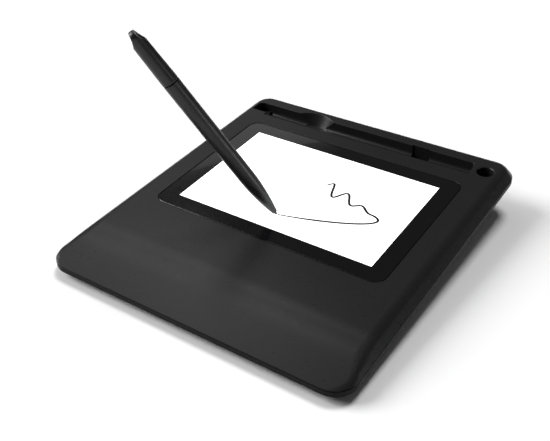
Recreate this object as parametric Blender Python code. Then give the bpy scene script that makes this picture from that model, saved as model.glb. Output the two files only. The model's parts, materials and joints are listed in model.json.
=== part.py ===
"""Signature pad with its pen: a thin sloping pad with a glazed display, a palm rest,
a pen groove along the back edge and a hole in which the pen can stand.

The pad is built in its own frame, with the origin at the middle of the display on the
level of the top face, X to the right, Y towards the back and Z square to the glass.
One empty tilts that frame to the slope at which the pad stands on its feet. A second
empty under it holds the pen at its writing angle. All lengths are in metres.
"""

import math

import bmesh
import bpy
from mathutils import Matrix, Vector

# Clearances between pieces
fit_gap = 0.0003
slide_gap = 0.0002
cut_overrun = 0.002

# Display and its glass
display_width = 0.108
display_depth = 0.0697
glass_border_side = 0.0091
glass_border_end = 0.0088
glass_thickness = 0.0011
glass_corner_radius = 0.0055
glass_sink = 0.0001
tape_thickness = 0.0003
ledge_width = 0.0045
window_radius = 0.002
frame_block_height = 0.004
frame_block_margin = 0.002

# Outline and stance of the pad, with margins that run outwards from the glass
side_margin = 0.0164
palm_flat = 0.02535
palm_run = 0.033
rear_margin = 0.03265
body_corner_radius = 0.0106
slope_angle = math.radians(4.4)
front_clearance = 0.0032
foot_proud = 0.001

# Top cover
cover_wall = 0.002
shoulder_width = 0.0073
shoulder_drop = 0.0052
shoulder_angle = math.radians(50)
palm_blend_run = 0.016
crease_round = 0.002
crease_round_share = 0.8
shoulder_ring_shares = (0.0, 0.17, 0.34, 0.46, 0.58, 0.7, 0.82, 0.92, 1.0)
palm_station_shares = (0.0, 0.1, 0.2, 0.3, 0.4, 0.5, 0.65, 0.8)

# Bottom cover
band_height = 0.0033
band_edge_round = 0.0005
tray_wall = 0.0022
floor_thickness = 0.002
hull_setback = 0.0015
hull_draft = math.radians(65)

# Pen groove, finger scoop, pocket and stand hole, set back from the sides and the rear
groove_left_margin = 0.016
groove_right_margin = 0.0187
groove_rear_margin = 0.012
groove_span = 0.0124
groove_depth = 0.0062
groove_slope = math.radians(40)
groove_rim_round = 0.006
groove_corner_radius = 0.0022
groove_end_margin = 0.0065
groove_end_span = 0.0087
groove_end_depth = 0.0045
groove_end_lap = 0.002
groove_end_radius = 0.0035
groove_end_front_radius = 0.0008
scoop_centre = 0.0345
scoop_setback = 0.0123
scoop_radius = 0.0164
scoop_taper = math.radians(30)
pocket_left = 0.0252
pocket_right = 0.0352
pocket_span = 0.005
pocket_notch = 0.0007
pocket_depth = 0.009
stand_hole_margin = 0.0118
stand_hole_setback = 0.0168
stand_hole_radius = 0.00425
stand_hole_depth = 0.011
stand_hole_wall = 0.0015
stand_hole_rim = 0.0004
trough_wall = 0.0018

# Display module
panel_margin = 0.003
panel_thickness = 0.0012
backlight_thickness = 0.0022
tray_sheet = 0.0004
sensor_board_margin = 0.0009
sensor_board_thickness = 0.0006
shield_thickness = 0.0004
shield_setback = 0.0068
module_post_radius = 0.0023
module_screw_inset = 0.0022
flex_slot_width = 0.022
flex_slot_left = 0.026
flex_slot_clearance = 0.0009

# Main board and what it carries
board_left = 0.046
board_right = 0.046
board_length = 0.055
board_rear_margin = 0.0093
board_depth_below_top = 0.0134
board_thickness = 0.0016
board_corner_radius = 0.002
board_hole_inset = 0.005
board_pillar_radius = 0.003
chip_names = ("processor_chip", "memory_chip", "clock_crystal")
chip_sizes = ((0.012, 0.012, 0.0012), (0.008, 0.006, 0.001), (0.005, 0.0032, 0.0011))
chip_place_shares = ((0.22, -0.21), (0.37, 0.05), (0.08, -0.32))
connector_width = 0.024
connector_depth = 0.005
connector_height = 0.0016
display_connector_setback = 0.0345
sensor_connector_x = 0.004
sensor_connector_setback = 0.015
flex_thickness = 0.0003
flex_width = 0.02
socket_width = 0.00894
socket_height = 0.00326
socket_length = 0.0073
socket_wall = 0.0003
socket_tongue_thickness = 0.0007
socket_tongue_width = 0.0067
socket_rear_margin = 0.0058
plug_recess_width = 0.0126
plug_recess_height = 0.0066

# Screws
case_screw_margin = 0.0115
case_screw_middle = -0.015
case_screw_setback = 0.0293
front_row_reach = 0.015
case_pillar_radius = 0.0038
case_boss_radius = 0.0027
case_joint_depth = 0.006
case_seat_depth = 0.0093
case_well_radius = 0.0026
screw_head_radius = 0.0022
screw_head_height = 0.0014
screw_shank_radius = 0.0011
case_screw_length = 0.0061
board_screw_length = 0.005
module_screw_length = 0.004
small_head_radius = 0.0018
small_head_height = 0.001
small_shank_radius = 0.0009
drive_share = 0.45
drive_depth_share = 0.5

# Feet
foot_radius = 0.006
foot_height = 0.0017
foot_margin = 0.0245
foot_setback = 0.0213
foot_edge_round = 0.0004

# Pen, with the stations of its tail counted forward from its end
pen_length = 0.110
pen_tip_x_share = -0.02644
pen_tip_y_share = -0.34762
pen_tip_height = 0.0003
pen_elevation = math.radians(59.3)
pen_azimuth = math.radians(32.64)
pen_roll = math.radians(-21)
nose_mouth = 0.0016
nose_mouth_radius = 0.0013
nose_length = 0.026
nose_exponent = 2.0
grip_radius = 0.00384
tail_length_share = 0.25
seam_radius = 0.00387
seam_round = 0.0003
tail_radius = 0.0035
tongue_length = 0.0066
tail_end_length = 0.0032
barrel_wall = 0.00147
nose_bore_setback = 0.002
spigot_length = 0.006
spigot_wall = 0.0009
tongue_thickness = 0.00235
tongue_scoop_radius = 0.0109
tongue_scoop_overhang = 0.0002
eyelet_length = 0.0042
eyelet_width = 0.0017
eyelet_setback = 0.0042

# Inside the pen
nib_radius = 0.0006
nib_bulge_radius = 0.0008
nib_grip = 0.003
core_start_share = 0.15
core_length_share = 0.1136
core_radius = 0.0016
coil_radius = 0.0021
coil_inset = 0.001
holder_start_share = 0.2818
holder_length = 0.007
holder_radius = 0.0019
holder_grip = 0.0035
sensor_gap = 0.0007
sensor_length = 0.0055
sensor_radius = 0.0015
carrier_setback = 0.0065
carrier_wall = 0.0004
pen_board_width = 0.0032
pen_board_thickness = 0.0008
pen_board_setback = 0.0025
pen_chip_length = 0.005
pen_chip_height = 0.0008

# Smoothness of curved forms
corner_steps = 8
nose_steps = 12
hole_steps = 32
pen_steps = 32
small_steps = 16
floor_steps = 10
scoop_steps = 16
screw_steps = 10
smooth_angle = math.radians(32)

# Sizes that follow from those above
glass_width = display_width + 2 * glass_border_side
glass_depth = display_depth + 2 * glass_border_end
half_width = glass_width / 2 + side_margin
palm_start = glass_depth / 2 + palm_flat
front_reach = palm_start + palm_run
rear_reach = glass_depth / 2 + rear_margin
parting_depth = shoulder_drop
tray_top = parting_depth + fit_gap
slab_depth = tray_top + band_height
groove_left = half_width - groove_left_margin
groove_right = half_width - groove_right_margin
groove_back = rear_reach - groove_rear_margin
groove_front = groove_back - groove_span
groove_end_left = half_width - groove_end_margin
groove_end_front = groove_back - groove_end_span
pocket_front = groove_back - pocket_span
pocket_back = groove_back + pocket_notch
stand_hole_x = half_width - stand_hole_margin
stand_hole_y = rear_reach - stand_hole_setback
board_back = rear_reach - board_rear_margin
board_front = board_back - board_length
display_connector_y = board_back - display_connector_setback
sensor_connector_y = board_back - sensor_connector_setback
case_screw_x = half_width - case_screw_margin
front_row_y = -palm_start - front_row_reach
case_screw_ys = (front_row_y, case_screw_middle, rear_reach - case_screw_setback)
foot_x = half_width - foot_margin
foot_ys = (front_row_y, rear_reach - foot_setback)
pen_tip_x = pen_tip_x_share * display_width
pen_tip_y = pen_tip_y_share * display_depth
core_start = core_start_share * pen_length
core_length = core_length_share * pen_length
nose_bore_end = core_start - nose_bore_setback
holder_start = holder_start_share * pen_length
nib_length = holder_start + nib_grip
sensor_start = holder_start + holder_length + sensor_gap
seam_station = pen_length * (1 - tail_length_share)
tail_shoulder = pen_length - tongue_length
carrier_end = seam_station - carrier_setback
glass_bottom = glass_sink + glass_thickness
tape_top = glass_bottom + fit_gap
ledge_depth = tape_top + tape_thickness + fit_gap
panel_width = display_width + 2 * panel_margin
panel_depth = display_depth + 2 * panel_margin
panel_top = glass_bottom + fit_gap
backlight_top = panel_top + panel_thickness + fit_gap
tray_floor_top = backlight_top + backlight_thickness + fit_gap
sensor_board_top = tray_floor_top + tray_sheet + fit_gap
shield_top = sensor_board_top + sensor_board_thickness + fit_gap
sensor_board_width = glass_width + 2 * sensor_board_margin
sensor_board_depth = glass_depth + 2 * sensor_board_margin
module_screw_x = glass_width / 2 - module_screw_inset
module_screw_y = glass_depth / 2 - module_screw_inset
palm_grade = shoulder_drop / (palm_run - palm_blend_run / 2)
stance_height = (
    front_clearance
    + front_reach * math.sin(slope_angle)
    + slab_depth * math.cos(slope_angle)
)
front_extreme = -front_reach * math.cos(slope_angle) + parting_depth * math.sin(slope_angle)
rear_extreme = rear_reach * math.cos(slope_angle) + (slab_depth - band_edge_round) * math.sin(
    slope_angle
)
stance_shift = -(front_extreme + rear_extreme) / 2


def clear_scene():
    """Removes what the startup scene holds."""
    for obj in list(bpy.data.objects):
        bpy.data.objects.remove(obj, do_unlink=True)


def make_material(name, colour, roughness, metallic=0.0):
    """A plain finish for the check renders."""
    material = bpy.data.materials.new(name)
    material.use_nodes = True
    shader = material.node_tree.nodes["Principled BSDF"]
    shader.inputs["Base Color"].default_value = (*colour, 1.0)
    shader.inputs["Roughness"].default_value = roughness
    shader.inputs["Metallic"].default_value = metallic
    return material


def make_frame(name, matrix, parent=None):
    """An empty that carries pieces in its own directions."""
    frame = bpy.data.objects.new(name, None)
    bpy.context.scene.collection.objects.link(frame)
    frame.parent = parent
    frame.matrix_basis = matrix
    return frame


def finish_object(name, mesh_builder, parent, material=None, smooth=False):
    """Turns a bmesh into a linked object under its frame."""
    bmesh.ops.recalc_face_normals(mesh_builder, faces=mesh_builder.faces)
    mesh = bpy.data.meshes.new(name)
    mesh_builder.to_mesh(mesh)
    mesh_builder.free()
    obj = bpy.data.objects.new(name, mesh)
    bpy.context.scene.collection.objects.link(obj)
    obj.parent = parent
    if material is not None:
        mesh.materials.append(material)
    if smooth:
        mesh.shade_smooth()
        mesh.set_sharp_from_angle(angle=smooth_angle)
    return obj


def combine(body, tool, operation):
    """Adds a Boolean that joins a helper to a body or cuts it out, and hides the helper."""
    tool.hide_render = True
    tool.display_type = "WIRE"
    modifier = body.modifiers.new(f"{operation.lower()} {tool.name}", "BOOLEAN")
    modifier.object = tool
    modifier.operation = operation
    modifier.solver = "EXACT"


def cornered_outline(left, right, front, back, radii, steps=corner_steps):
    """Points round a rectangle, anticlockwise from the front right, a radius per corner."""
    points = []
    corners = (
        (right, front, -1, 1, -90),
        (right, back, -1, -1, 0),
        (left, back, 1, -1, 90),
        (left, front, 1, 1, 180),
    )
    for (x, y, step_x, step_y, start), radius in zip(corners, radii):
        if radius == 0.0:
            points.append((x, y))
            continue
        for step in range(steps + 1):
            angle = math.radians(start + 90 * step / steps)
            reach_x = radius * (step_x + math.cos(angle))
            reach_y = radius * (step_y + math.sin(angle))
            points.append((x + reach_x, y + reach_y))
    return points


def rounded_outline(left, right, front, back, radius):
    """Points round a rectangle whose corners share one radius."""
    return cornered_outline(left, right, front, back, (radius,) * 4)


def circle_outline(x, y, radius, steps=small_steps):
    """Points round a circle, anticlockwise."""
    points = []
    for step in range(steps):
        angle = 2 * math.pi * step / steps
        points.append((x + radius * math.cos(angle), y + radius * math.sin(angle)))
    return points


def add_prism(mesh_builder, outline, bottom, top):
    """Adds the upright solid over an outline, between two heights."""
    low = [mesh_builder.verts.new((x, y, bottom)) for x, y in outline]
    high = [mesh_builder.verts.new((x, y, top)) for x, y in outline]
    mesh_builder.faces.new(list(reversed(low)))
    mesh_builder.faces.new(high)
    count = len(outline)
    for i in range(count):
        j = (i + 1) % count
        mesh_builder.faces.new((low[i], low[j], high[j], high[i]))


def make_prism(name, outline, bottom, top, parent, material=None, smooth=False):
    """An upright solid as an object of its own."""
    mesh_builder = bmesh.new()
    add_prism(mesh_builder, outline, bottom, top)
    return finish_object(name, mesh_builder, parent, material, smooth)


def box_outline(left, right, front, back):
    """Corners of a rectangle, anticlockwise from the front left."""
    return [(left, front), (right, front), (right, back), (left, back)]


def centred_outline(width, depth, radius=0.0):
    """Outline of a plate that is centred on the display."""
    if radius == 0.0:
        return box_outline(-width / 2, width / 2, -depth / 2, depth / 2)
    return rounded_outline(-width / 2, width / 2, -depth / 2, depth / 2, radius)


def add_lathe(mesh_builder, profile, steps, centre=(0.0, 0.0)):
    """Adds the solid of revolution about Z of a closed profile of (radius, height) points."""
    rings = []
    for radius, height in profile:
        if radius == 0.0:
            rings.append([mesh_builder.verts.new((centre[0], centre[1], height))])
            continue
        outline = circle_outline(centre[0], centre[1], radius, steps)
        rings.append([mesh_builder.verts.new((x, y, height)) for x, y in outline])
    for i, ring in enumerate(rings):
        following = rings[(i + 1) % len(rings)]
        if len(ring) == 1 and len(following) == 1:
            continue
        for j in range(steps):
            k = (j + 1) % steps
            if len(ring) == 1:
                mesh_builder.faces.new((ring[0], following[j], following[k]))
            elif len(following) == 1:
                mesh_builder.faces.new((ring[j], ring[k], following[0]))
            else:
                mesh_builder.faces.new((ring[j], ring[k], following[k], following[j]))


def make_lathe(name, profile, parent, material=None, steps=pen_steps, centre=(0.0, 0.0)):
    """A solid of revolution as an object of its own."""
    mesh_builder = bmesh.new()
    add_lathe(mesh_builder, profile, steps, centre)
    return finish_object(name, mesh_builder, parent, material, smooth=True)


def bridge(mesh_builder, first, second):
    """Joins two rings of equally many points with a band of faces."""
    count = len(first)
    for i in range(count):
        j = (i + 1) % count
        mesh_builder.faces.new((first[i], first[j], second[j], second[i]))


def add_span(mesh_builder, first, second):
    """Adds the solid between two equal loops of points."""
    loops = [[mesh_builder.verts.new(point) for point in loop] for loop in (first, second)]
    mesh_builder.faces.new(loops[0])
    mesh_builder.faces.new(list(reversed(loops[1])))
    bridge(mesh_builder, loops[0], loops[1])


def make_bar(name, section, left, right, parent, material=None):
    """Solid with a section of (y, z) points that runs along X."""
    mesh_builder = bmesh.new()
    ends = [[(x, y, z) for y, z in section] for x in (left, right)]
    add_span(mesh_builder, *ends)
    return finish_object(name, mesh_builder, parent, material)


# Body outline
# Each ring is the body's outline moved inwards. It lists the right half from front to
# back and then the left half from back to front, with stations along the palm rest.


def outline_half():
    """Points of the right half, front to back, each with its outward direction."""
    points = []
    x = half_width - body_corner_radius
    y = -front_reach + body_corner_radius
    for step in range(corner_steps + 1):
        angle = math.radians(-90 + 90 * step / corner_steps)
        points.append((x, y, math.cos(angle), math.sin(angle), body_corner_radius))
    side_run = -palm_start - y
    for share in palm_station_shares[1:]:
        points.append((half_width, y + side_run * share, 1.0, 0.0, 0.0))
    points.append((half_width, -palm_start, 1.0, 0.0, 0.0))
    y = rear_reach - body_corner_radius
    for step in range(corner_steps + 1):
        angle = math.radians(90 * step / corner_steps)
        points.append((x, y, math.cos(angle), math.sin(angle), body_corner_radius))
    return points


def outline_ring(inset, height):
    """Outline at an inset. Inset and height are functions of the point's place along Y."""
    right = []
    for x, y, out_x, out_y, radius in outline_half():
        step = inset(y + out_y * radius, out_y)
        point_x = x + out_x * (radius - step)
        point_y = y + out_y * (radius - step)
        right.append(Vector((point_x, point_y, height(point_y))))
    left = [Vector((-point.x, point.y, point.z)) for point in reversed(right)]
    return right + left


def add_ring(mesh_builder, points):
    """Adds a ring's points to the mesh."""
    return [mesh_builder.verts.new(point) for point in points]


# Top cover


def shoulder_round():
    """Radius of the arc between the flat top and the shoulder's straight flank."""
    flank = shoulder_width * math.tan(shoulder_angle) - shoulder_drop
    per_radius = math.sin(shoulder_angle) * math.tan(shoulder_angle) - 1
    return flank / (per_radius + math.cos(shoulder_angle))


def shoulder_tilt(inset):
    """Angle between the shoulder and the flat top at an inset from the outline."""
    across = (shoulder_width - inset) / shoulder_round()
    return math.asin(min(across, math.sin(shoulder_angle)))


def shoulder_height(inset):
    """Height of the shoulder's section at an inset from the outline."""
    radius = shoulder_round()
    arc_run = radius * math.sin(shoulder_angle)
    flank_run = shoulder_width - arc_run
    if inset < flank_run:
        return -shoulder_drop + inset * math.tan(shoulder_angle)
    return -radius * (1 - math.cos(shoulder_tilt(inset)))


def palm_height(y):
    """Height of the palm rest: flat, then a soft bend into a ramp down to the front."""
    ahead = -palm_start - y
    if ahead <= 0:
        return 0.0
    if ahead < palm_blend_run:
        return -palm_grade * ahead * ahead / (2 * palm_blend_run)
    return -palm_grade * (ahead - palm_blend_run / 2)


def cover_height(inset, y):
    """Top face of the cover: the lower of shoulder and palm rest, with a rounded crease."""
    side = shoulder_height(inset)
    palm = palm_height(y)
    blend = min(crease_round, crease_round_share * inset)
    lower = min(side, palm)
    if blend == 0.0:
        return lower
    overlap = max(blend - abs(side - palm), 0.0) / blend
    if palm == 0.0:
        return lower
    return lower - overlap * overlap * blend / 4


def add_cover_skin(mesh_builder, rings):
    """Joins the rings and closes the middle with strips across the palm rest."""
    for outer, inner in zip(rings, rings[1:]):
        bridge(mesh_builder, outer, inner)
    last = rings[-1]
    half = len(last) // 2
    first_flat = corner_steps + len(palm_station_shares)
    for i in range(first_flat):
        mesh_builder.faces.new((last[i], last[i + 1], last[-i - 2], last[-i - 1]))
    mesh_builder.faces.new(last[first_flat : 2 * half - first_flat])


def build_cover_shell():
    """The cover's shell: an outer skin, an inner skin one wall below it and a flat rim."""
    mesh_builder = bmesh.new()
    outer_rings = []
    for share in shoulder_ring_shares:
        inset = share * shoulder_width
        points = outline_ring(
            lambda y, out, inset=inset: inset, lambda y, inset=inset: cover_height(inset, y)
        )
        outer_rings.append(add_ring(mesh_builder, points))
    rim_width = cover_wall / math.sin(shoulder_angle)
    rim_start = cover_wall * math.cos(shoulder_angle) / math.tan(shoulder_angle)
    points = outline_ring(lambda y, out: rim_width, lambda y: -parting_depth)
    inner_rings = [add_ring(mesh_builder, points)]
    for share in shoulder_ring_shares:
        inset = share * shoulder_width
        if inset <= rim_start:
            continue
        tilt = shoulder_tilt(inset)

        def inner_height(y, inset=inset, tilt=tilt):
            return max(cover_height(inset, y) - cover_wall * math.cos(tilt), -parting_depth)

        moved = inset + cover_wall * math.sin(tilt)
        points = outline_ring(lambda y, out, moved=moved: moved, inner_height)
        inner_rings.append(add_ring(mesh_builder, points))
    add_cover_skin(mesh_builder, outer_rings)
    add_cover_skin(mesh_builder, inner_rings)
    bridge(mesh_builder, outer_rings[0], inner_rings[0])
    return mesh_builder


def groove_slope_start():
    """Where the groove's soft front rim meets its straight slope, as (y, z)."""
    run = groove_rim_round * math.sin(groove_slope)
    drop = groove_rim_round * (1 - math.cos(groove_slope))
    return groove_front + run, -drop


def groove_floor_round():
    """Radius of the floor that touches the slope, the depth and the rear wall."""
    y, z = groove_slope_start()
    sine = math.sin(groove_slope)
    cosine = math.cos(groove_slope)
    reach = (groove_back - y) * sine - (groove_depth + z) * cosine
    return reach / (1 + sine - cosine)


def groove_section():
    """Section of the groove as (y, z) points: soft rim, slope, round floor, rear wall."""
    points = [(groove_front, cut_overrun)]
    for step in range(corner_steps + 1):
        angle = groove_slope * step / corner_steps
        y = groove_front + groove_rim_round * math.sin(angle)
        points.append((y, -groove_rim_round * (1 - math.cos(angle))))
    radius = groove_floor_round()
    sweep = math.pi / 2 + groove_slope
    for step in range(floor_steps + 1):
        angle = -sweep * (1 - step / floor_steps)
        y = groove_back + radius * (math.cos(angle) - 1)
        points.append((y, -groove_depth + radius * (math.sin(angle) + 1)))
    points.append((groove_back, cut_overrun))
    return points


def trough_section():
    """Section of the groove's walls from below: one wall outside its slope and floor."""
    y, z = groove_slope_start()
    sine = math.sin(groove_slope)
    cosine = math.cos(groove_slope)
    top = -cover_wall / 2
    floor = -groove_depth - trough_wall
    y -= trough_wall * sine
    z -= trough_wall * cosine
    front = y + (z - top) * cosine / sine
    turn = y + (z - floor) * cosine / sine
    back = groove_back + trough_wall
    return [(front, top), (turn, floor), (back, floor), (back, top)]


def make_groove_walls(pad):
    """Solids under the top wall that give the groove, scoop, pocket and hole their walls."""
    top = -cover_wall / 2
    left = -groove_left - groove_end_lap - trough_wall
    trough = make_bar("groove_trough", trough_section(), left, groove_right + trough_wall, pad)
    outlines = [
        (
            "groove_end_wall",
            rounded_outline(
                -groove_end_left - trough_wall,
                -groove_left + trough_wall,
                groove_end_front - trough_wall,
                groove_back + trough_wall,
                groove_corner_radius,
            ),
            -groove_end_depth - trough_wall,
        ),
        (
            "scoop_wall",
            box_outline(
                -scoop_centre - scoop_radius * math.cos(scoop_taper),
                -scoop_centre + scoop_radius * math.cos(scoop_taper),
                groove_back,
                groove_back - scoop_setback + scoop_radius + trough_wall,
            ),
            -groove_depth - trough_wall,
        ),
        (
            "pocket_wall",
            box_outline(
                pocket_left - trough_wall,
                pocket_right + trough_wall,
                pocket_front - trough_wall,
                pocket_back + trough_wall,
            ),
            -pocket_depth - trough_wall,
        ),
        (
            "stand_hole_wall",
            circle_outline(
                stand_hole_x, stand_hole_y, stand_hole_radius + stand_hole_wall, hole_steps
            ),
            -stand_hole_depth - trough_wall,
        ),
    ]
    walls = [make_prism(name, outline, low, top, pad) for name, outline, low in outlines]
    return [trough] + walls


def make_groove_cutter(pad):
    """Cutter for the groove: its section along X, kept inside the groove's plan."""
    lap_left = -groove_left - groove_end_lap
    cutter = make_bar(
        "groove_cutter",
        groove_section(),
        lap_left - cut_overrun,
        groove_right + cut_overrun,
        pad,
    )
    front = groove_front - cut_overrun
    radii = (0.0, groove_corner_radius, 0.0, 0.0)
    plan = cornered_outline(lap_left, groove_right, front, groove_back, radii)
    plan[-1:] = [
        (lap_left, groove_end_front),
        (-groove_left, groove_end_front),
        (-groove_left, front),
    ]
    low = -groove_depth - cut_overrun
    combine(cutter, make_prism("groove_plan", plan, low, 2 * cut_overrun, pad), "INTERSECT")
    return cutter


def make_groove_end_cutter(pad):
    """Cutter for the groove's shallower left end, with upright walls."""
    plan = cornered_outline(
        -groove_end_left,
        -groove_left,
        groove_end_front,
        groove_back,
        (0.0, 0.0, groove_end_radius, groove_end_front_radius),
    )
    return make_prism("groove_end_cutter", plan, -groove_end_depth, cut_overrun, pad)


def make_scoop_cutter(pad):
    """Cutter for the finger scoop: a cone, point down, kept to the groove's rear side."""
    spread = math.tan(scoop_taper)
    centre_y = groove_back - scoop_setback
    rings = []
    for height in (-groove_depth, cut_overrun):
        radius = scoop_radius + height * spread
        outline = circle_outline(-scoop_centre, centre_y, radius, hole_steps * 2)
        rings.append([(x, y, height) for x, y in outline])
    mesh_builder = bmesh.new()
    add_span(mesh_builder, *rings)
    cut = bmesh.ops.bisect_plane(
        mesh_builder,
        geom=mesh_builder.verts[:] + mesh_builder.edges[:] + mesh_builder.faces[:],
        plane_co=(0.0, groove_back - groove_floor_round(), 0.0),
        plane_no=(0.0, 1.0, 0.0),
        clear_inner=True,
    )
    edges = [item for item in cut["geom_cut"] if isinstance(item, bmesh.types.BMEdge)]
    bmesh.ops.contextual_create(mesh_builder, geom=edges)
    return finish_object("scoop_cutter", mesh_builder, pad)


def make_cover_cutters(pad):
    """Cutters for what opens through the cover's top face."""
    seat_width = glass_width + 2 * fit_gap
    seat_depth = glass_depth + 2 * fit_gap
    seat_radius = glass_corner_radius + fit_gap
    window_width = glass_width - 2 * ledge_width
    window_depth = glass_depth - 2 * ledge_width
    through = -frame_block_height - cut_overrun
    rim_top = stand_hole_radius + stand_hole_rim
    cutters = [
        make_prism(
            "glass_seat_cutter",
            centred_outline(seat_width, seat_depth, seat_radius),
            -ledge_depth,
            cut_overrun,
            pad,
        ),
        make_prism(
            "window_cutter",
            centred_outline(window_width, window_depth, window_radius),
            through,
            cut_overrun,
            pad,
        ),
        make_groove_cutter(pad),
        make_groove_end_cutter(pad),
        make_scoop_cutter(pad),
        make_prism(
            "pocket_cutter",
            box_outline(pocket_left, pocket_right, pocket_front, pocket_back),
            -pocket_depth,
            cut_overrun,
            pad,
        ),
        make_lathe(
            "stand_hole_cutter",
            [
                (0.0, -stand_hole_depth),
                (stand_hole_radius, -stand_hole_depth),
                (stand_hole_radius, -stand_hole_rim),
                (rim_top, 0.0),
                (rim_top, cut_overrun),
                (0.0, cut_overrun),
            ],
            pad,
            steps=hole_steps,
            centre=(stand_hole_x, stand_hole_y),
        ),
    ]
    return cutters


def make_top_cover(pad, material):
    """Upper shell with palm rest, glass seat, pen groove, scoop, pocket and stand hole."""
    cover = finish_object("top_cover", build_cover_shell(), pad, material, smooth=True)
    frame_block = make_prism(
        "display_frame_block",
        centred_outline(
            glass_width + 2 * frame_block_margin,
            glass_depth + 2 * frame_block_margin,
            glass_corner_radius + frame_block_margin,
        ),
        -frame_block_height,
        -cover_wall / 2,
        pad,
    )
    combine(cover, frame_block, "UNION")
    for wall in make_groove_walls(pad):
        combine(cover, wall, "UNION")
    combine(cover, make_module_posts(pad), "UNION")
    combine(cover, make_case_bosses(pad), "UNION")
    for cutter in make_cover_cutters(pad):
        combine(cover, cutter, "DIFFERENCE")
    combine(cover, make_cover_screw_holes(pad), "DIFFERENCE")
    return cover


def module_screw_places():
    """Where the sensor board's screws stand."""
    places = []
    for side in (-1, 1):
        for end in (-1, 1):
            places.append((side * module_screw_x, end * module_screw_y))
    return places


def case_screw_places():
    """Where the screws stand that hold the two covers together."""
    return [(side * case_screw_x, y) for side in (-1, 1) for y in case_screw_ys]


def make_module_posts(pad):
    """Four short posts under the display frame, to which the sensor board is screwed."""
    mesh_builder = bmesh.new()
    low = -sensor_board_top + fit_gap
    for x, y in module_screw_places():
        outline = circle_outline(x, y, module_post_radius)
        add_prism(mesh_builder, outline, low, -ledge_depth - cover_wall / 2)
    return finish_object("module_posts", mesh_builder, pad)


def make_case_bosses(pad):
    """Screw bosses that hang from the top wall and meet the bottom cover's pillars."""
    mesh_builder = bmesh.new()
    for x, y in case_screw_places():
        top = palm_height(y) - cover_wall / 2
        add_prism(mesh_builder, circle_outline(x, y, case_boss_radius), -case_joint_depth, top)
    return finish_object("case_bosses", mesh_builder, pad)


def make_cover_screw_holes(pad):
    """Blind holes for the case screws and the display module's screws."""
    mesh_builder = bmesh.new()
    tip = -case_seat_depth - fit_gap + case_screw_length + fit_gap
    for x, y in case_screw_places():
        outline = circle_outline(x, y, screw_shank_radius + fit_gap)
        add_prism(mesh_builder, outline, -case_joint_depth - cut_overrun, tip)
    tip = module_screw_tip() + fit_gap
    for x, y in module_screw_places():
        outline = circle_outline(x, y, small_shank_radius + fit_gap)
        add_prism(mesh_builder, outline, -sensor_board_top - cut_overrun, tip)
    return finish_object("cover_screw_holes", mesh_builder, pad)


def module_screw_tip():
    """Height that the ends of the sensor board's screws reach."""
    return -sensor_board_top - sensor_board_thickness - fit_gap + module_screw_length


# Bottom cover


def plane_height(level, y):
    """Height in the pad's frame of a plane that is level with the table, above it."""
    return (level - stance_height) / math.cos(slope_angle) - y * math.tan(slope_angle)


def hull_inset(start, level, y, out_y):
    """Inset at which the drafted flank that starts at an inset meets a level plane."""
    spread = 1 / math.tan(hull_draft)
    depth = -slab_depth - plane_height(level, y)
    turn = math.tan(slope_angle) * out_y * spread
    return (start + spread * depth) / (1 + turn)


def build_tray_shell():
    """The tray: an upright band, then a drafted hull down to a floor level with the table."""
    mesh_builder = bmesh.new()
    skin_level = foot_proud
    floor_level = foot_proud + floor_thickness
    inner_start = hull_setback + tray_wall
    outer = [
        outline_ring(lambda y, out: 0.0, lambda y: -tray_top),
        outline_ring(lambda y, out: 0.0, lambda y: -slab_depth + band_edge_round),
        outline_ring(lambda y, out: band_edge_round, lambda y: -slab_depth),
        outline_ring(lambda y, out: hull_setback, lambda y: -slab_depth),
        outline_ring(
            lambda y, out: hull_inset(hull_setback, skin_level, y, out),
            lambda y: plane_height(skin_level, y),
        ),
    ]
    inner = [
        outline_ring(lambda y, out: tray_wall, lambda y: -tray_top),
        outline_ring(lambda y, out: tray_wall, lambda y: -slab_depth + tray_wall),
        outline_ring(lambda y, out: inner_start, lambda y: -slab_depth),
        outline_ring(
            lambda y, out: hull_inset(inner_start, floor_level, y, out),
            lambda y: plane_height(floor_level, y),
        ),
    ]
    outer_rings = [add_ring(mesh_builder, points) for points in outer]
    inner_rings = [add_ring(mesh_builder, points) for points in inner]
    for rings in (outer_rings, inner_rings):
        for first, second in zip(rings, rings[1:]):
            bridge(mesh_builder, first, second)
        mesh_builder.faces.new(rings[-1])
    bridge(mesh_builder, outer_rings[0], inner_rings[0])
    return mesh_builder


def board_screw_places():
    """Where the main board's screws stand."""
    places = []
    for x in (-board_left + board_hole_inset, board_right - board_hole_inset):
        for y in (board_front + board_hole_inset, board_back - board_hole_inset):
            places.append((x, y))
    return places


def make_tray_pillars(pad):
    """Pillars on the floor for the case screws and the main board."""
    mesh_builder = bmesh.new()
    sunk = foot_proud + floor_thickness / 2
    for x, y in case_screw_places():
        outline = circle_outline(x, y, case_pillar_radius)
        low = plane_height(sunk, y)
        add_prism(mesh_builder, outline, low, -case_joint_depth - fit_gap)
    for x, y in board_screw_places():
        outline = circle_outline(x, y, board_pillar_radius)
        low = plane_height(sunk, y)
        add_prism(mesh_builder, outline, low, -board_bottom() - fit_gap)
    return finish_object("tray_pillars", mesh_builder, pad)


def board_bottom():
    """Depth of the main board's underside."""
    return board_depth_below_top + board_thickness


def make_tray_holes(pad):
    """Wells through which the case screws are driven from below."""
    mesh_builder = bmesh.new()
    below = plane_height(-cut_overrun, rear_reach)
    for x, y in case_screw_places():
        well = circle_outline(x, y, case_well_radius)
        add_prism(mesh_builder, well, below, -case_seat_depth)
    return finish_object("screw_wells", mesh_builder, pad)


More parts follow.
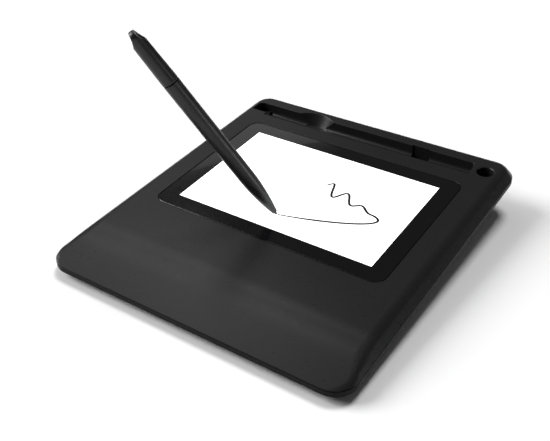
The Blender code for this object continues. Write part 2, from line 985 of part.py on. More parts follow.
def make_tray_bores(pad):
    """Holes through the pillars for the shanks of the case and board screws."""
    mesh_builder = bmesh.new()
    for x, y in case_screw_places():
        bore = circle_outline(x, y, screw_shank_radius + fit_gap)
        add_prism(mesh_builder, bore, -case_seat_depth - cut_overrun, -case_joint_depth)
    tip = -board_depth_below_top + fit_gap - board_screw_length
    for x, y in board_screw_places():
        bore = circle_outline(x, y, small_shank_radius + fit_gap)
        add_prism(mesh_builder, bore, tip - fit_gap, -board_bottom())
    return finish_object("pillar_bores", mesh_builder, pad)


def make_plug_opening(pad):
    """Opening in the rear flank behind the cable socket."""
    centre = -board_depth_below_top + fit_gap + socket_height / 2
    mesh_builder = bmesh.new()
    outline = box_outline(
        -plug_recess_width / 2,
        plug_recess_width / 2,
        board_back - board_hole_inset,
        rear_reach + cut_overrun,
    )
    low = centre - plug_recess_height / 2
    add_prism(mesh_builder, outline, low, min(low + plug_recess_height, -slab_depth))
    return finish_object("plug_opening", mesh_builder, pad)


def make_foot_recesses(table):
    """Round recesses in the underside in which the feet sit."""
    mesh_builder = bmesh.new()
    top = foot_height + fit_gap
    for x in (-foot_x, foot_x):
        for y in foot_ys:
            centre = foot_place(x, y)
            outline = circle_outline(*centre, foot_radius + fit_gap, hole_steps)
            add_prism(mesh_builder, outline, -cut_overrun, top)
    return finish_object("foot_recesses", mesh_builder, table)


def foot_place(x, y):
    """Where a foot stands on the table, from its place under the pad."""
    depth = plane_height(foot_proud, y)
    level_y = y * math.cos(slope_angle) - depth * math.sin(slope_angle) + stance_shift
    return x, level_y


def make_bottom_cover(pad, table, material):
    """Lower shell with its band, drafted hull, pillars, screw wells and foot recesses."""
    tray = finish_object("bottom_cover", build_tray_shell(), pad, material, smooth=True)
    combine(tray, make_tray_pillars(pad), "UNION")
    for cutter in (
        make_tray_holes(pad),
        make_tray_bores(pad),
        make_plug_opening(pad),
        make_foot_recesses(table),
    ):
        combine(tray, cutter, "DIFFERENCE")
    return tray


def make_feet(table, material):
    """Four round rubber feet that stand level on the table."""
    names = (("left", -foot_x), ("right", foot_x))
    for end, y in zip(("front", "rear"), foot_ys):
        for side, x in names:
            profile = [
                (0.0, 0.0),
                (foot_radius - foot_edge_round, 0.0),
                (foot_radius, foot_edge_round),
                (foot_radius, foot_height),
                (0.0, foot_height),
            ]
            name = f"foot_{end}_{side}"
            make_lathe(name, profile, table, material, hole_steps, foot_place(x, y))


# Display


def make_display(pad, finishes):
    """Glass, tape, panel, backlight, its metal tray, sensor board and shield."""
    make_prism(
        "cover_glass",
        centred_outline(glass_width, glass_depth, glass_corner_radius),
        -glass_bottom,
        -glass_sink,
        pad,
        finishes["glass"],
    )
    make_glass_tape(pad, finishes["tape"])
    make_prism(
        "display_panel",
        centred_outline(panel_width, panel_depth),
        -panel_top - panel_thickness,
        -panel_top,
        pad,
        finishes["panel"],
    )
    make_prism(
        "backlight_unit",
        centred_outline(panel_width, panel_depth),
        -backlight_top - backlight_thickness,
        -backlight_top,
        pad,
        finishes["diffuser"],
    )
    make_display_tray(pad, finishes["steel"])
    make_sensor_board(pad, finishes["board"])
    make_shield(pad, finishes["steel"])


def make_glass_tape(pad, material):
    """Closed frame of adhesive between the glass and the cover's ledge."""
    mesh_builder = bmesh.new()
    inner_margin = ledge_width - fit_gap
    outer = centred_outline(glass_width, glass_depth, glass_corner_radius)
    inner = centred_outline(
        glass_width - 2 * inner_margin, glass_depth - 2 * inner_margin, window_radius
    )
    rings = []
    bottom = -tape_top - tape_thickness
    levels = ((outer, -tape_top), (inner, -tape_top), (inner, bottom), (outer, bottom))
    for outline, height in levels:
        rings.append([mesh_builder.verts.new((x, y, height)) for x, y in outline])
    for first, second in zip(rings, rings[1:] + rings[:1]):
        bridge(mesh_builder, first, second)
    return finish_object("glass_tape", mesh_builder, pad, material)


def make_display_tray(pad, material):
    """Sheet metal tray with thin walls round the backlight and the panel."""
    reach_x = panel_width / 2 + fit_gap
    reach_y = panel_depth / 2 + fit_gap
    floor = -tray_floor_top
    mesh_builder = bmesh.new()
    outer = centred_outline(2 * (reach_x + tray_sheet), 2 * (reach_y + tray_sheet))
    inner = centred_outline(2 * reach_x, 2 * reach_y)
    levels = ((outer, floor - tray_sheet), (outer, -panel_top), (inner, -panel_top), (inner, floor))
    rings = [[mesh_builder.verts.new((x, y, z)) for x, y in outline] for outline, z in levels]
    for first, second in zip(rings, rings[1:]):
        bridge(mesh_builder, first, second)
    mesh_builder.faces.new(rings[0])
    mesh_builder.faces.new(rings[-1])
    return finish_object("display_tray", mesh_builder, pad, material)


def flex_slot_y():
    """Where the display's flat cable runs down behind its metal tray."""
    return panel_depth / 2 + fit_gap + tray_sheet + fit_gap


def make_sensor_board(pad, material):
    """Pen sensing board under the display, with a slot for the display's flat cable."""
    board = make_prism(
        "sensor_board",
        centred_outline(sensor_board_width, sensor_board_depth, board_corner_radius),
        -sensor_board_top - sensor_board_thickness,
        -sensor_board_top,
        pad,
        material,
    )
    mesh_builder = bmesh.new()
    slot = box_outline(
        -flex_slot_left,
        -flex_slot_left + flex_slot_width,
        flex_slot_y() - fit_gap,
        flex_slot_y() + flex_thickness + flex_slot_clearance,
    )
    low = -sensor_board_top - sensor_board_thickness - cut_overrun
    add_prism(mesh_builder, slot, low, -sensor_board_top + cut_overrun)
    for x, y in module_screw_places():
        hole = circle_outline(x, y, small_shank_radius + fit_gap)
        add_prism(mesh_builder, hole, low, -sensor_board_top + cut_overrun)
    combine(board, finish_object("sensor_board_cuts", mesh_builder, pad), "DIFFERENCE")
    return board


def make_shield(pad, material):
    """Steel sheet behind the sensor board, with its corners cut back from the screws."""
    half_x = sensor_board_width / 2
    half_y = sensor_board_depth / 2
    back = flex_slot_y() - fit_gap
    notch_x = half_x - shield_setback
    notch_y = half_y - shield_setback
    outline = [
        (-notch_x, -half_y),
        (notch_x, -half_y),
        (notch_x, -notch_y),
        (half_x, -notch_y),
        (half_x, back),
        (-half_x, back),
        (-half_x, -notch_y),
        (-notch_x, -notch_y),
    ]
    return make_prism(
        "shield_plate", outline, -shield_top - shield_thickness, -shield_top, pad, material
    )


# Main board


def make_main_board(pad, finishes):
    """Main board with its chips, connectors, cable socket and flat cables."""
    board = make_prism(
        "main_board",
        rounded_outline(-board_left, board_right, board_front, board_back, board_corner_radius),
        -board_bottom(),
        -board_depth_below_top,
        pad,
        finishes["board"],
    )
    mesh_builder = bmesh.new()
    for x, y in board_screw_places():
        hole = circle_outline(x, y, small_shank_radius + fit_gap)
        low = -board_bottom() - cut_overrun
        add_prism(mesh_builder, hole, low, -board_depth_below_top + cut_overrun)
    combine(board, finish_object("board_holes", mesh_builder, pad), "DIFFERENCE")
    make_board_chips(pad, finishes["chip"])
    make_connectors(pad, finishes["connector"])
    make_socket(pad, finishes["steel"])
    make_display_flex(pad, finishes["flex"])
    make_sensor_flex(pad, finishes["flex"])


def board_seat():
    """Height of the underside of what is soldered to the board."""
    return -board_depth_below_top + fit_gap


def make_board_chips(pad, material):
    """Chips at their shares of the board's width and length, counted from its middle."""
    middle_x = (board_right - board_left) / 2
    middle_y = (board_front + board_back) / 2
    width = board_left + board_right
    depth = board_back - board_front
    for name, (size_x, size_y, height), (share_x, share_y) in zip(
        chip_names, chip_sizes, chip_place_shares
    ):
        x = middle_x + share_x * width
        y = middle_y + share_y * depth
        outline = box_outline(x - size_x / 2, x + size_x / 2, y - size_y / 2, y + size_y / 2)
        make_prism(name, outline, board_seat(), board_seat() + height, pad, material)


def connector_places():
    """Name and place of each flat cable's connector."""
    return (
        ("display_connector", -flex_slot_left + flex_slot_width / 2, display_connector_y),
        ("sensor_connector", sensor_connector_x, sensor_connector_y),
    )


def make_connectors(pad, material):
    """The two blocks that take the flat cables."""
    for name, x, y in connector_places():
        outline = box_outline(
            x - connector_width / 2,
            x + connector_width / 2,
            y - connector_depth / 2,
            y + connector_depth / 2,
        )
        make_prism(name, outline, board_seat(), board_seat() + connector_height, pad, material)


def make_flex(name, x, route, pad, material):
    """Flat cable: a thin strip that follows a route of (y, z) points."""
    near = []
    far = []
    for i, (y, z) in enumerate(route):
        before = Vector(route[max(i - 1, 0)])
        after = Vector(route[min(i + 1, len(route) - 1)])
        along = (after - before).normalized()
        offset = Vector((-along.y, along.x)) * flex_thickness / 2
        near.append(tuple(Vector((y, z)) + offset))
        far.append(tuple(Vector((y, z)) - offset))
    section = near + far[::-1]
    return make_bar(name, section, x - flex_width / 2, x + flex_width / 2, pad, material)


def curved_route(start, end, lean_start, lean_end, steps):
    """Points of a smooth curve between two ends with given leanings."""
    points = []
    for step in range(steps + 1):
        t = step / steps
        a = (1 - t) ** 3
        b = 3 * t * (1 - t) ** 2
        c = 3 * t * t * (1 - t)
        d = t**3
        y = a * start[0] + b * (start[0] + lean_start[0]) + c * (end[0] + lean_end[0]) + d * end[0]
        z = a * start[1] + b * (start[1] + lean_start[1]) + c * (end[1] + lean_end[1]) + d * end[1]
        points.append((y, z))
    return points


def make_display_flex(pad, material):
    """From behind the display's tray, down through the slot, forward into its connector."""
    y = flex_slot_y() + flex_thickness / 2
    drop = shield_top + shield_thickness + fit_gap
    top = (y, -panel_top - panel_thickness)
    turn = (y, -drop)
    end_y = display_connector_y + connector_depth / 2 + fit_gap
    end = (end_y, board_seat() + connector_height / 2)
    reach = (drop - board_depth_below_top) / 2
    route = [top] + curved_route(turn, end, (0.0, reach), (-reach, 0.0), corner_steps)
    make_flex("display_flex", connector_places()[0][1], route, pad, material)


def make_sensor_flex(pad, material):
    """From under the sensor board's rear edge, back and down into its connector."""
    start_y = sensor_board_depth / 2 - board_hole_inset / 2
    start = (start_y, -shield_top - flex_thickness / 2)
    end_y = sensor_connector_y - connector_depth / 2 - fit_gap
    end = (end_y, board_seat() + connector_height / 2)
    reach = end_y - start_y
    route = curved_route(start, end, (reach, 0.0), (-reach, 0.0), corner_steps)
    make_flex("sensor_flex", connector_places()[1][1], route, pad, material)


def make_socket(pad, material):
    """Cable socket on the board's rear edge: a flattened steel shell with its tongue."""
    low = board_seat()
    centre = low + socket_height / 2
    back = rear_reach - socket_rear_margin
    front = back - socket_length
    radius = socket_height / 2
    mesh_builder = bmesh.new()

    def loop(y, shrink):
        points = []
        reach = socket_width / 2 - radius
        for side, start in ((1, -90), (-1, 90)):
            for step in range(corner_steps + 1):
                angle = math.radians(start + 180 * step / corner_steps)
                x = side * reach + (radius - shrink) * math.cos(angle)
                points.append((x, y, centre + (radius - shrink) * math.sin(angle)))
        return [mesh_builder.verts.new(point) for point in points]

    rings = [
        loop(front, 0.0),
        loop(back, 0.0),
        loop(back, socket_wall),
        loop(front + socket_wall, socket_wall),
    ]
    for first, second in zip(rings, rings[1:]):
        bridge(mesh_builder, first, second)
    mesh_builder.faces.new(rings[0])
    mesh_builder.faces.new(rings[-1])
    shell = finish_object("cable_socket", mesh_builder, pad, material)
    tongue = make_prism(
        "socket_tongue",
        box_outline(
            -socket_tongue_width / 2,
            socket_tongue_width / 2,
            front + socket_wall / 2,
            back - socket_wall * 2,
        ),
        centre - socket_tongue_thickness / 2,
        centre + socket_tongue_thickness / 2,
        pad,
    )
    combine(shell, tongue, "UNION")
    return shell


# Screws


def screw_mesh(name, shank, head_radius, head_height, length, material):
    """Screw along Z with its head below its seat at the origin, and a drive recess."""
    drive = head_radius * drive_share
    recess = head_height * (1 - drive_depth_share)
    bevel = head_height * drive_share / 2
    profile = [
        (0.0, length),
        (shank * drive_share, length),
        (shank, length - shank),
        (shank, 0.0),
        (head_radius, 0.0),
        (head_radius, bevel - head_height),
        (head_radius - bevel, -head_height),
        (drive, -head_height),
        (drive * drive_share, -recess),
        (0.0, -recess),
    ]
    mesh_builder = bmesh.new()
    add_lathe(mesh_builder, profile, screw_steps)
    bmesh.ops.recalc_face_normals(mesh_builder, faces=mesh_builder.faces)
    mesh = bpy.data.meshes.new(name)
    mesh_builder.to_mesh(mesh)
    mesh_builder.free()
    mesh.materials.append(material)
    mesh.shade_smooth()
    mesh.set_sharp_from_angle(angle=smooth_angle)
    return mesh


def place_screws(mesh, places, seat, parent, turned=False):
    """One object for each screw, named after its corner. Turned screws point down."""
    for x, y in places:
        screw = bpy.data.objects.new(f"{mesh.name}_{corner_name(x, y, places)}", mesh)
        bpy.context.scene.collection.objects.link(screw)
        screw.parent = parent
        screw.location = (x, y, seat)
        if turned:
            screw.rotation_euler = (math.pi, 0.0, 0.0)


def corner_name(x, y, places):
    """Name of a place by its row and side, such as front_left."""
    rows = sorted({place[1] for place in places})
    row = "front" if y == rows[0] else "rear" if y == rows[-1] else "middle"
    return f"{row}_{'left' if x < 0 else 'right'}"


def make_screws(pad, material):
    """Case screws and sensor board screws from below, main board screws from above."""
    shank = screw_shank_radius
    case = screw_mesh(
        "case_screw", shank, screw_head_radius, screw_head_height, case_screw_length, material
    )
    place_screws(case, case_screw_places(), -case_seat_depth - fit_gap, pad)
    shank = small_shank_radius
    head = small_head_radius
    rise = small_head_height
    module = screw_mesh("module_screw", shank, head, rise, module_screw_length, material)
    seat = -sensor_board_top - sensor_board_thickness - fit_gap
    place_screws(module, module_screw_places(), seat, pad)
    board = screw_mesh("board_screw", shank, head, rise, board_screw_length, material)
    place_screws(board, board_screw_places(), board_seat(), pad, turned=True)


# Pen
# The pen's frame has its origin at the nib's tip and Z along the pen, towards its tail.


def pen_radius(station):
    """Outer radius of the pen at a distance from its tip."""
    if station < nose_length:
        share = (nose_length - station) / (nose_length - nose_mouth)
        return nose_mouth_radius + (grip_radius - nose_mouth_radius) * (1 - share**nose_exponent)
    if station < seam_station:
        share = (station - nose_length) / (seam_station - nose_length)
        return grip_radius + (seam_radius - grip_radius) * share
    share = (station - seam_station) / (tail_shoulder - seam_station)
    return seam_radius + (tail_radius - seam_radius) * min(share, 1.0)


def bore_radius():
    """Inner radius of the barrel behind its nose."""
    return seam_radius - barrel_wall


def nib_bore_radius():
    """Radius of the nose's bore, in which the nib slides."""
    return nib_bulge_radius + slide_gap


def make_barrel(pen, material):
    """Front of the pen: a long rounded nose that runs into a slightly tapered barrel."""
    steps = nose_steps
    profile = [(nib_bore_radius(), nose_mouth)]
    for step in range(steps + 1):
        station = nose_mouth + (nose_length - nose_mouth) * step / steps
        profile.append((pen_radius(station), station))
    profile += [
        (seam_radius, seam_station - seam_round),
        (seam_radius - seam_round, seam_station),
        (bore_radius(), seam_station),
        (bore_radius(), nose_bore_end + bore_radius() - nib_bore_radius()),
        (nib_bore_radius(), nose_bore_end),
    ]
    return make_lathe("pen_barrel", profile, pen, material)


def make_tail(pen, material):
    """Rear of the pen: a sleeve that plugs into the barrel and ends in an eyelet tongue."""
    start = seam_station + fit_gap
    spigot = bore_radius() - slide_gap
    inner = spigot - spigot_wall
    hollow_end = tail_shoulder - 4 * spigot_wall
    profile = [
        (inner, start - spigot_length),
        (spigot, start - spigot_length),
        (spigot, start),
        (seam_radius - seam_round, start),
        (seam_radius, start + seam_round),
        (tail_radius, tail_shoulder),
    ]
    profile += rounded_end() + [(0.0, hollow_end), (inner, hollow_end - inner)]
    tail = make_lathe("pen_tail", profile, pen, material)
    for cutter in make_tail_cutters(pen):
        combine(tail, cutter, "DIFFERENCE")
    return tail


def rounded_end():
    """Rounded end of the tail in section, from its side to the axis."""
    points = []
    start = pen_length - tail_end_length
    for step in range(corner_steps):
        angle = math.radians(90 * step / corner_steps)
        points.append((tail_radius * math.cos(angle), start + tail_end_length * math.sin(angle)))
    points.append((0.0, pen_length))
    return points


def make_tongue_cutter(pen, name, side, reach):
    """Cutter for one of the two hollowed faces that leave the tongue between them."""
    centre_x = tongue_thickness / 2 + tongue_scoop_radius
    centre_z = pen_length + tongue_scoop_overhang
    points = []
    for step in range(scoop_steps + 1):
        angle = math.radians(180 + 90 * step / scoop_steps)
        x = centre_x + tongue_scoop_radius * math.cos(angle)
        z = centre_z + tongue_scoop_radius * math.sin(angle)
        points.append((side * x, z))
    high = centre_z + cut_overrun
    points.append((side * centre_x, high))
    points.append((side * tongue_thickness / 2, high))
    mesh_builder = bmesh.new()
    add_span(mesh_builder, *[[(x, y, z) for x, z in points] for y in (-reach, reach)])
    return finish_object(name, mesh_builder, pen)


def make_eyelet_cutter(pen, reach):
    """Cutter for the slot through the tongue that takes a cord."""
    radius = eyelet_width / 2
    station = pen_length - eyelet_setback
    slide = eyelet_length / 2 - radius
    points = []
    for start, shift in ((-90, slide), (90, -slide)):
        for step in range(corner_steps + 1):
            angle = math.radians(start + 180 * step / corner_steps)
            z = station + shift + radius * math.cos(angle)
            points.append((radius * math.sin(angle), z))
    mesh_builder = bmesh.new()
    add_span(mesh_builder, *[[(x, y, z) for y, z in points] for x in (-reach, reach)])
    return finish_object("eyelet_cutter", mesh_builder, pen)


def make_tail_cutters(pen):
    """The two hollowed faces of the tail and its eyelet."""
    reach = tail_radius + cut_overrun
    return [
        make_tongue_cutter(pen, "tongue_face_one", 1, reach),
        make_tongue_cutter(pen, "tongue_face_two", -1, reach),
        make_eyelet_cutter(pen, reach),
    ]


def make_nib(pen, material):
    """Plastic nib: a rounded tip on a long thin stem."""
    profile = [(0.0, 0.0)]
    for step in range(1, corner_steps + 1):
        angle = math.radians(90 * step / corner_steps)
        radius = nib_radius * math.sin(angle)
        profile.append((radius, nib_radius * (1 - math.cos(angle))))
    profile += [
        (nib_bulge_radius, nose_mouth),
        (nib_bulge_radius, nib_length),
        (0.0, nib_length),
    ]
    return make_lathe("pen_nib", profile, pen, material, steps=small_steps)


def tube_profile(inner, outer, start, end):
    """Section of a plain tube between two stations."""
    return [(inner, start), (outer, start), (outer, end), (inner, end)]


def make_pen_inside(pen, finishes):
    """Ferrite core, coil, nib holder, pressure sensor, carrier, board and its chip."""
    core_bore = nib_bulge_radius + slide_gap
    core_end = core_start + core_length
    profile = tube_profile(core_bore, core_radius, core_start, core_end)
    make_lathe("ferrite_core", profile, pen, finishes["ferrite"], steps=small_steps)
    coil_bore = core_radius + slide_gap / 2
    profile = tube_profile(
        coil_bore, coil_radius, core_start + coil_inset, core_end - coil_inset
    )
    make_lathe("sensing_coil", profile, pen, finishes["copper"], steps=small_steps)
    holder_end = holder_start + holder_length
    grip_bore = nib_bulge_radius + slide_gap / 2
    profile = [
        (grip_bore, holder_start),
        (holder_radius, holder_start),
        (holder_radius, holder_end),
        (0.0, holder_end),
        (0.0, nib_length + fit_gap),
        (grip_bore, nib_length + fit_gap),
    ]
    make_lathe("nib_holder", profile, pen, finishes["chip"], steps=small_steps)
    profile = [
        (0.0, sensor_start),
        (sensor_radius, sensor_start),
        (sensor_radius, sensor_start + sensor_length),
        (0.0, sensor_start + sensor_length),
    ]
    make_lathe("pressure_sensor", profile, pen, finishes["ferrite"], steps=small_steps)
    make_pen_carrier(pen, finishes["chip"])
    make_pen_board(pen, finishes)


def make_pen_carrier(pen, material):
    """Half-round cradle that carries the sensor and the board along the barrel."""
    outer = bore_radius() - slide_gap
    inner = outer - carrier_wall
    mesh_builder = bmesh.new()
    section = []
    for radius, order in ((outer, 1), (inner, -1)):
        arc = []
        for step in range(small_steps + 1):
            angle = math.pi + math.pi * step / small_steps
            arc.append((radius * math.cos(angle), radius * math.sin(angle)))
        section += arc[::order]
    add_prism(mesh_builder, section, sensor_start, carrier_end)
    return finish_object("pen_carrier", mesh_builder, pen, material)


def make_pen_board(pen, finishes):
    """Narrow board that lies in the carrier, with one chip on it."""
    start = sensor_start + sensor_length + fit_gap
    end = carrier_end - pen_board_setback
    half = pen_board_width / 2
    thick = pen_board_thickness
    outline = box_outline(-half, half, -thick / 2, thick / 2)
    make_prism("pen_board", outline, start, end, pen, finishes["board"])
    low = thick / 2 + slide_gap
    outline = box_outline(-half / 2, half / 2, low, low + pen_chip_height)
    chip_start = (start + end) / 2
    make_prism(
        "pen_chip", outline, chip_start, chip_start + pen_chip_length, pen, finishes["chip"]
    )


def make_pen(pen, finishes):
    """All pieces of the pen, outside first."""
    make_barrel(pen, finishes["satin"])
    make_tail(pen, finishes["satin"])
    make_nib(pen, finishes["nib"])
    make_pen_inside(pen, finishes)


def make_finishes():
    """One plain finish for each kind of material."""
    return {
        "matte": make_material("matte black plastic", (0.012, 0.012, 0.013), 0.55),
        "tray": make_material("dark tray plastic", (0.008, 0.008, 0.009), 0.6),
        "glass": make_material("black edged glass", (0.004, 0.004, 0.005), 0.06),
        "tape": make_material("black adhesive tape", (0.02, 0.02, 0.02), 0.8),
        "panel": make_material("white display", (0.9, 0.9, 0.9), 0.4),
        "diffuser": make_material("white diffuser", (0.75, 0.75, 0.73), 0.6),
        "steel": make_material("steel", (0.55, 0.55, 0.56), 0.35, 1.0),
        "board": make_material("green board", (0.01, 0.12, 0.05), 0.45),
        "chip": make_material("black moulding", (0.015, 0.015, 0.015), 0.5),
        "connector": make_material("ivory connector", (0.7, 0.66, 0.55), 0.5),
        "flex": make_material("amber flat cable", (0.45, 0.2, 0.04), 0.4),
        "rubber": make_material("black rubber", (0.015, 0.015, 0.015), 0.85),
        "satin": make_material("satin black pen", (0.012, 0.012, 0.013), 0.35),
        "nib": make_material("nib plastic", (0.03, 0.03, 0.03), 0.4),
        "ferrite": make_material("ferrite", (0.06, 0.055, 0.055), 0.6),
        "copper": make_material("copper winding", (0.7, 0.32, 0.16), 0.3, 1.0),
    }


def pad_matrix():
    """Places the pad's frame so that its feet stand level on the table."""
    turn = Matrix.Rotation(slope_angle, 4, "X")
    return Matrix.Translation((0.0, stance_shift, stance_height)) @ turn


def pen_matrix():
    """Places the pen in the pad's frame at its writing angle."""
    lean = Matrix.Rotation(pen_elevation - math.pi / 2, 4, "Y")
    turn = Matrix.Rotation(pen_azimuth, 4, "Z")
    roll = Matrix.Rotation(pen_roll, 4, "Z")
    return Matrix.Translation((pen_tip_x, pen_tip_y, pen_tip_height)) @ turn @ lean @ roll


def main():
    """Builds every piece under its frame."""
    clear_scene()
    finishes = make_finishes()
    pad = make_frame("pad_frame", pad_matrix())
    table = make_frame("table_frame", Matrix.Identity(4))
    pen = make_frame("pen_frame", pen_matrix(), pad)
    make_top_cover(pad, finishes["matte"])
    make_bottom_cover(pad, table, finishes["tray"])
    make_feet(table, finishes["rubber"])
    make_display(pad, finishes)
    make_main_board(pad, finishes)
    make_screws(pad, finishes["steel"])
    make_pen(pen, finishes)


main()
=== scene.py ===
"""Looks of the signature pad and its pen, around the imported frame.

The pad has its own directions: origin in the middle of the display on the level of the
top face, X to the right, Y towards the back, Z square to the glass. Stance turns them
into the frame's. The pen has Z along itself, from the nib's tip towards its tail. All
lengths are in metres.
"""

import json
import logging
import math
from collections.abc import Callable, Sequence
from dataclasses import dataclass, field, replace
from enum import Enum

import bmesh
import bpy
from bmesh.types import BMEdge, BMFace
from bpy.types import ID, Material, Node, NodeSocket, Object
from mathutils import Matrix, Vector


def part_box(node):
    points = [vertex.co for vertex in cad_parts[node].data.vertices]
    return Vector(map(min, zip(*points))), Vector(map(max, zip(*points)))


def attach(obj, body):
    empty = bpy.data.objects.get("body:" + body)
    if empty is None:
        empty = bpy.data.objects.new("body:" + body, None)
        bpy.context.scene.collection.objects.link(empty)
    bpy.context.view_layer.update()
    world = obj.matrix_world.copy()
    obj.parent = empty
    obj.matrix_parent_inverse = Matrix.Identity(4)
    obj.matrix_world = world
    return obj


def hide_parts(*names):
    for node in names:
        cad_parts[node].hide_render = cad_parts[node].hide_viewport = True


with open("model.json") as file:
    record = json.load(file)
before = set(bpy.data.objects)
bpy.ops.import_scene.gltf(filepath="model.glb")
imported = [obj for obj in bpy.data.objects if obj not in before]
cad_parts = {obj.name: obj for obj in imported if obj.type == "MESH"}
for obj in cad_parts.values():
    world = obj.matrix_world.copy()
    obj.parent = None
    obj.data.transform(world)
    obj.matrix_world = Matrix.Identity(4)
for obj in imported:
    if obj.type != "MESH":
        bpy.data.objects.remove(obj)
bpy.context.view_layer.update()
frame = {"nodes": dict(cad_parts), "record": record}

LOG = logging.getLogger("signature_pad")

Point = tuple[float, float, float]
Flat = tuple[float, float]

MERGE = 2e-6  # points closer than this become one
AXIS_RADIUS = 1e-7  # stands for a radius of 0, which can't be resized
QUARTER_TURN = math.pi / 2
RIM_ANGLE = math.radians(33)  # an edge that is sharper than this is a rim
FLAT_ANGLE = math.radians(0.1)  # triangles within this angle become one flat face
SMOOTH_ANGLE = math.radians(32)  # faces within this angle are shaded as one surface
NORMAL_WEIGHT = 60  # how strongly large faces pull the shading towards themselves
FACING = 0.9  # a face looks along Z where its normal has more than this of it
WHITE = (1.0, 1.0, 1.0, 1.0)


# Where things stand


@dataclass(frozen=True)
class Stance:
    """How the pad's own directions lie in the frame."""

    slope: float = math.radians(4.4)
    rise: float = 0.0197994
    shift: float = 0.0122943

    def matrix(self) -> Matrix:
        """Returns the turn and the move from the pad's directions to the frame's."""
        turn = Matrix.Rotation(self.slope, 4, "X")
        return Matrix.Translation((0.0, self.shift, self.rise)) @ turn


PAD = Stance().matrix()
TO_PAD = PAD.inverted()


# Hand tools: short wrappers round the modelling operators


def clear_selection() -> None:
    """Leaves edit mode, deselects every object and goes back to picking points."""
    if bpy.context.object is not None and bpy.context.object.mode == "EDIT":
        bpy.ops.object.mode_set(mode="OBJECT")
    bpy.ops.object.select_all(action="DESELECT")
    bpy.context.scene.tool_settings.mesh_select_mode = (True, False, False)


def pick(piece: Object) -> None:
    """Makes a piece the only one selected, and the active one.

    Args:
        piece: The piece to pick.
    """
    clear_selection()
    piece.select_set(True)
    bpy.context.view_layer.objects.active = piece


def open_piece(piece: Object) -> None:
    """Picks a piece and goes into its edit mode."""
    pick(piece)
    bpy.ops.object.mode_set(mode="EDIT")


def open_new(name: str) -> Object:
    """Names the primitive that was just added and opens it with all of it selected.

    Args:
        name: The new piece's name.

    Returns:
        The new piece, in edit mode.
    """
    piece = bpy.context.object
    piece.name = name
    piece.data.name = name
    bpy.ops.object.mode_set(mode="EDIT")
    bpy.ops.mesh.select_all(action="SELECT")
    return piece


def close_piece() -> None:
    """Goes back to object mode."""
    bpy.ops.object.mode_set(mode="OBJECT")


def add_to_scene(name: str, data: ID) -> Object:
    """Adds a new object to the scene.

    Args:
        name: The object's name.
        data: Its mesh, light or camera.

    Returns:
        The new object.
    """
    made = bpy.data.objects.new(name, data)
    bpy.context.scene.collection.objects.link(made)
    return made


def copy_of(first: Object, name: str) -> Object:
    """Copies a piece, with a mesh of its own.

    Args:
        first: The piece that is copied.
        name: The copy's name.

    Returns:
        The copy.
    """
    piece = first.copy()
    piece.data = first.data.copy()
    piece.name = name
    bpy.context.scene.collection.objects.link(piece)
    return piece


def select_faces(piece: Object, test: Callable[[BMFace], bool]) -> None:
    """Selects the faces of the opened piece that pass a test.

    Args:
        piece: The piece in edit mode.
        test: Takes a face and says whether it is wanted.
    """
    bpy.ops.mesh.select_mode(type="FACE")
    bpy.ops.mesh.select_all(action="DESELECT")
    shape = bmesh.from_edit_mesh(piece.data)
    chosen = [face for face in shape.faces if test(face)]
    for face in chosen:
        face.select_set(True)
    bmesh.update_edit_mesh(piece.data)


def select_edges(piece: Object, test: Callable[[BMEdge], bool]) -> int:
    """Selects the edges of the opened piece that pass a test.

    Args:
        piece: The piece in edit mode.
        test: Takes an edge between two faces and says whether it is wanted.

    Returns:
        How many edges were selected.
    """
    bpy.ops.mesh.select_mode(type="EDGE")
    bpy.ops.mesh.select_all(action="DESELECT")
    shape = bmesh.from_edit_mesh(piece.data)
    shape.normal_update()
    chosen = [edge for edge in shape.edges if len(edge.link_faces) == 2 and test(edge)]
    for edge in chosen:
        edge.select_set(True)
    bmesh.update_edit_mesh(piece.data)
    return len(chosen)


def middle(edge: BMEdge) -> Vector:
    """Returns the middle of an edge."""
    return (edge.verts[0].co + edge.verts[1].co) / 2


def is_rim(edge: BMEdge) -> bool:
    """Says whether an edge stands out and is sharp enough for a rim."""
    return edge.is_convex and edge.calc_face_angle(0.0) > RIM_ANGLE


def round_selected(width: float, segments: int = 3) -> None:
    """Rounds the selected edges of the opened piece."""
    bpy.ops.mesh.bevel(
        offset=width, offset_type="OFFSET", segments=segments, profile=0.5, affect="EDGES",
        clamp_overlap=False,
    )


def round_rims(piece: Object, width: float, test: Callable[[BMEdge], bool]) -> None:
    """Rounds the sharp edges of a piece that pass a test.

    Args:
        piece: The piece to work on.
        width: How far the rounding reaches from the edge.
        test: Takes an edge and says whether it is rounded.
    """
    open_piece(piece)
    if select_edges(piece, lambda edge: is_rim(edge) and test(edge)):
        round_selected(width)
    close_piece()


def apply_modifier(piece: Object, kind: str, **settings: object) -> None:
    """Adds a modifier to a piece and applies it.

    Args:
        piece: The piece to work on.
        kind: The modifier's type.
        settings: The modifier's settings by name.
    """
    pick(piece)
    modifier = piece.modifiers.new(kind.lower(), kind)
    for name, value in settings.items():
        setattr(modifier, name, value)
    bpy.ops.object.modifier_apply(modifier=modifier.name)


def cut_away(piece: Object, *cutters: Object) -> None:
    """Cuts helpers out of a piece and removes the helpers.

    Args:
        piece: The piece to work on.
        cutters: Closed helpers, cut out one after the other.
    """
    for cutter in cutters:
        apply_modifier(piece, "BOOLEAN", object=cutter, operation="DIFFERENCE", solver="EXACT")
        bpy.data.objects.remove(cutter, do_unlink=True)


def even_shading(piece: Object, angle: float = SMOOTH_ANGLE) -> None:
    """Shades a piece smoothly and keeps its flat faces flat.

    Args:
        piece: The piece to work on.
        angle: Sharper edges than this stay sharp.
    """
    pick(piece)
    bpy.ops.object.shade_smooth_by_angle(angle=angle)
    apply_modifier(piece, "WEIGHTED_NORMAL", keep_sharp=True, weight=NORMAL_WEIGHT)


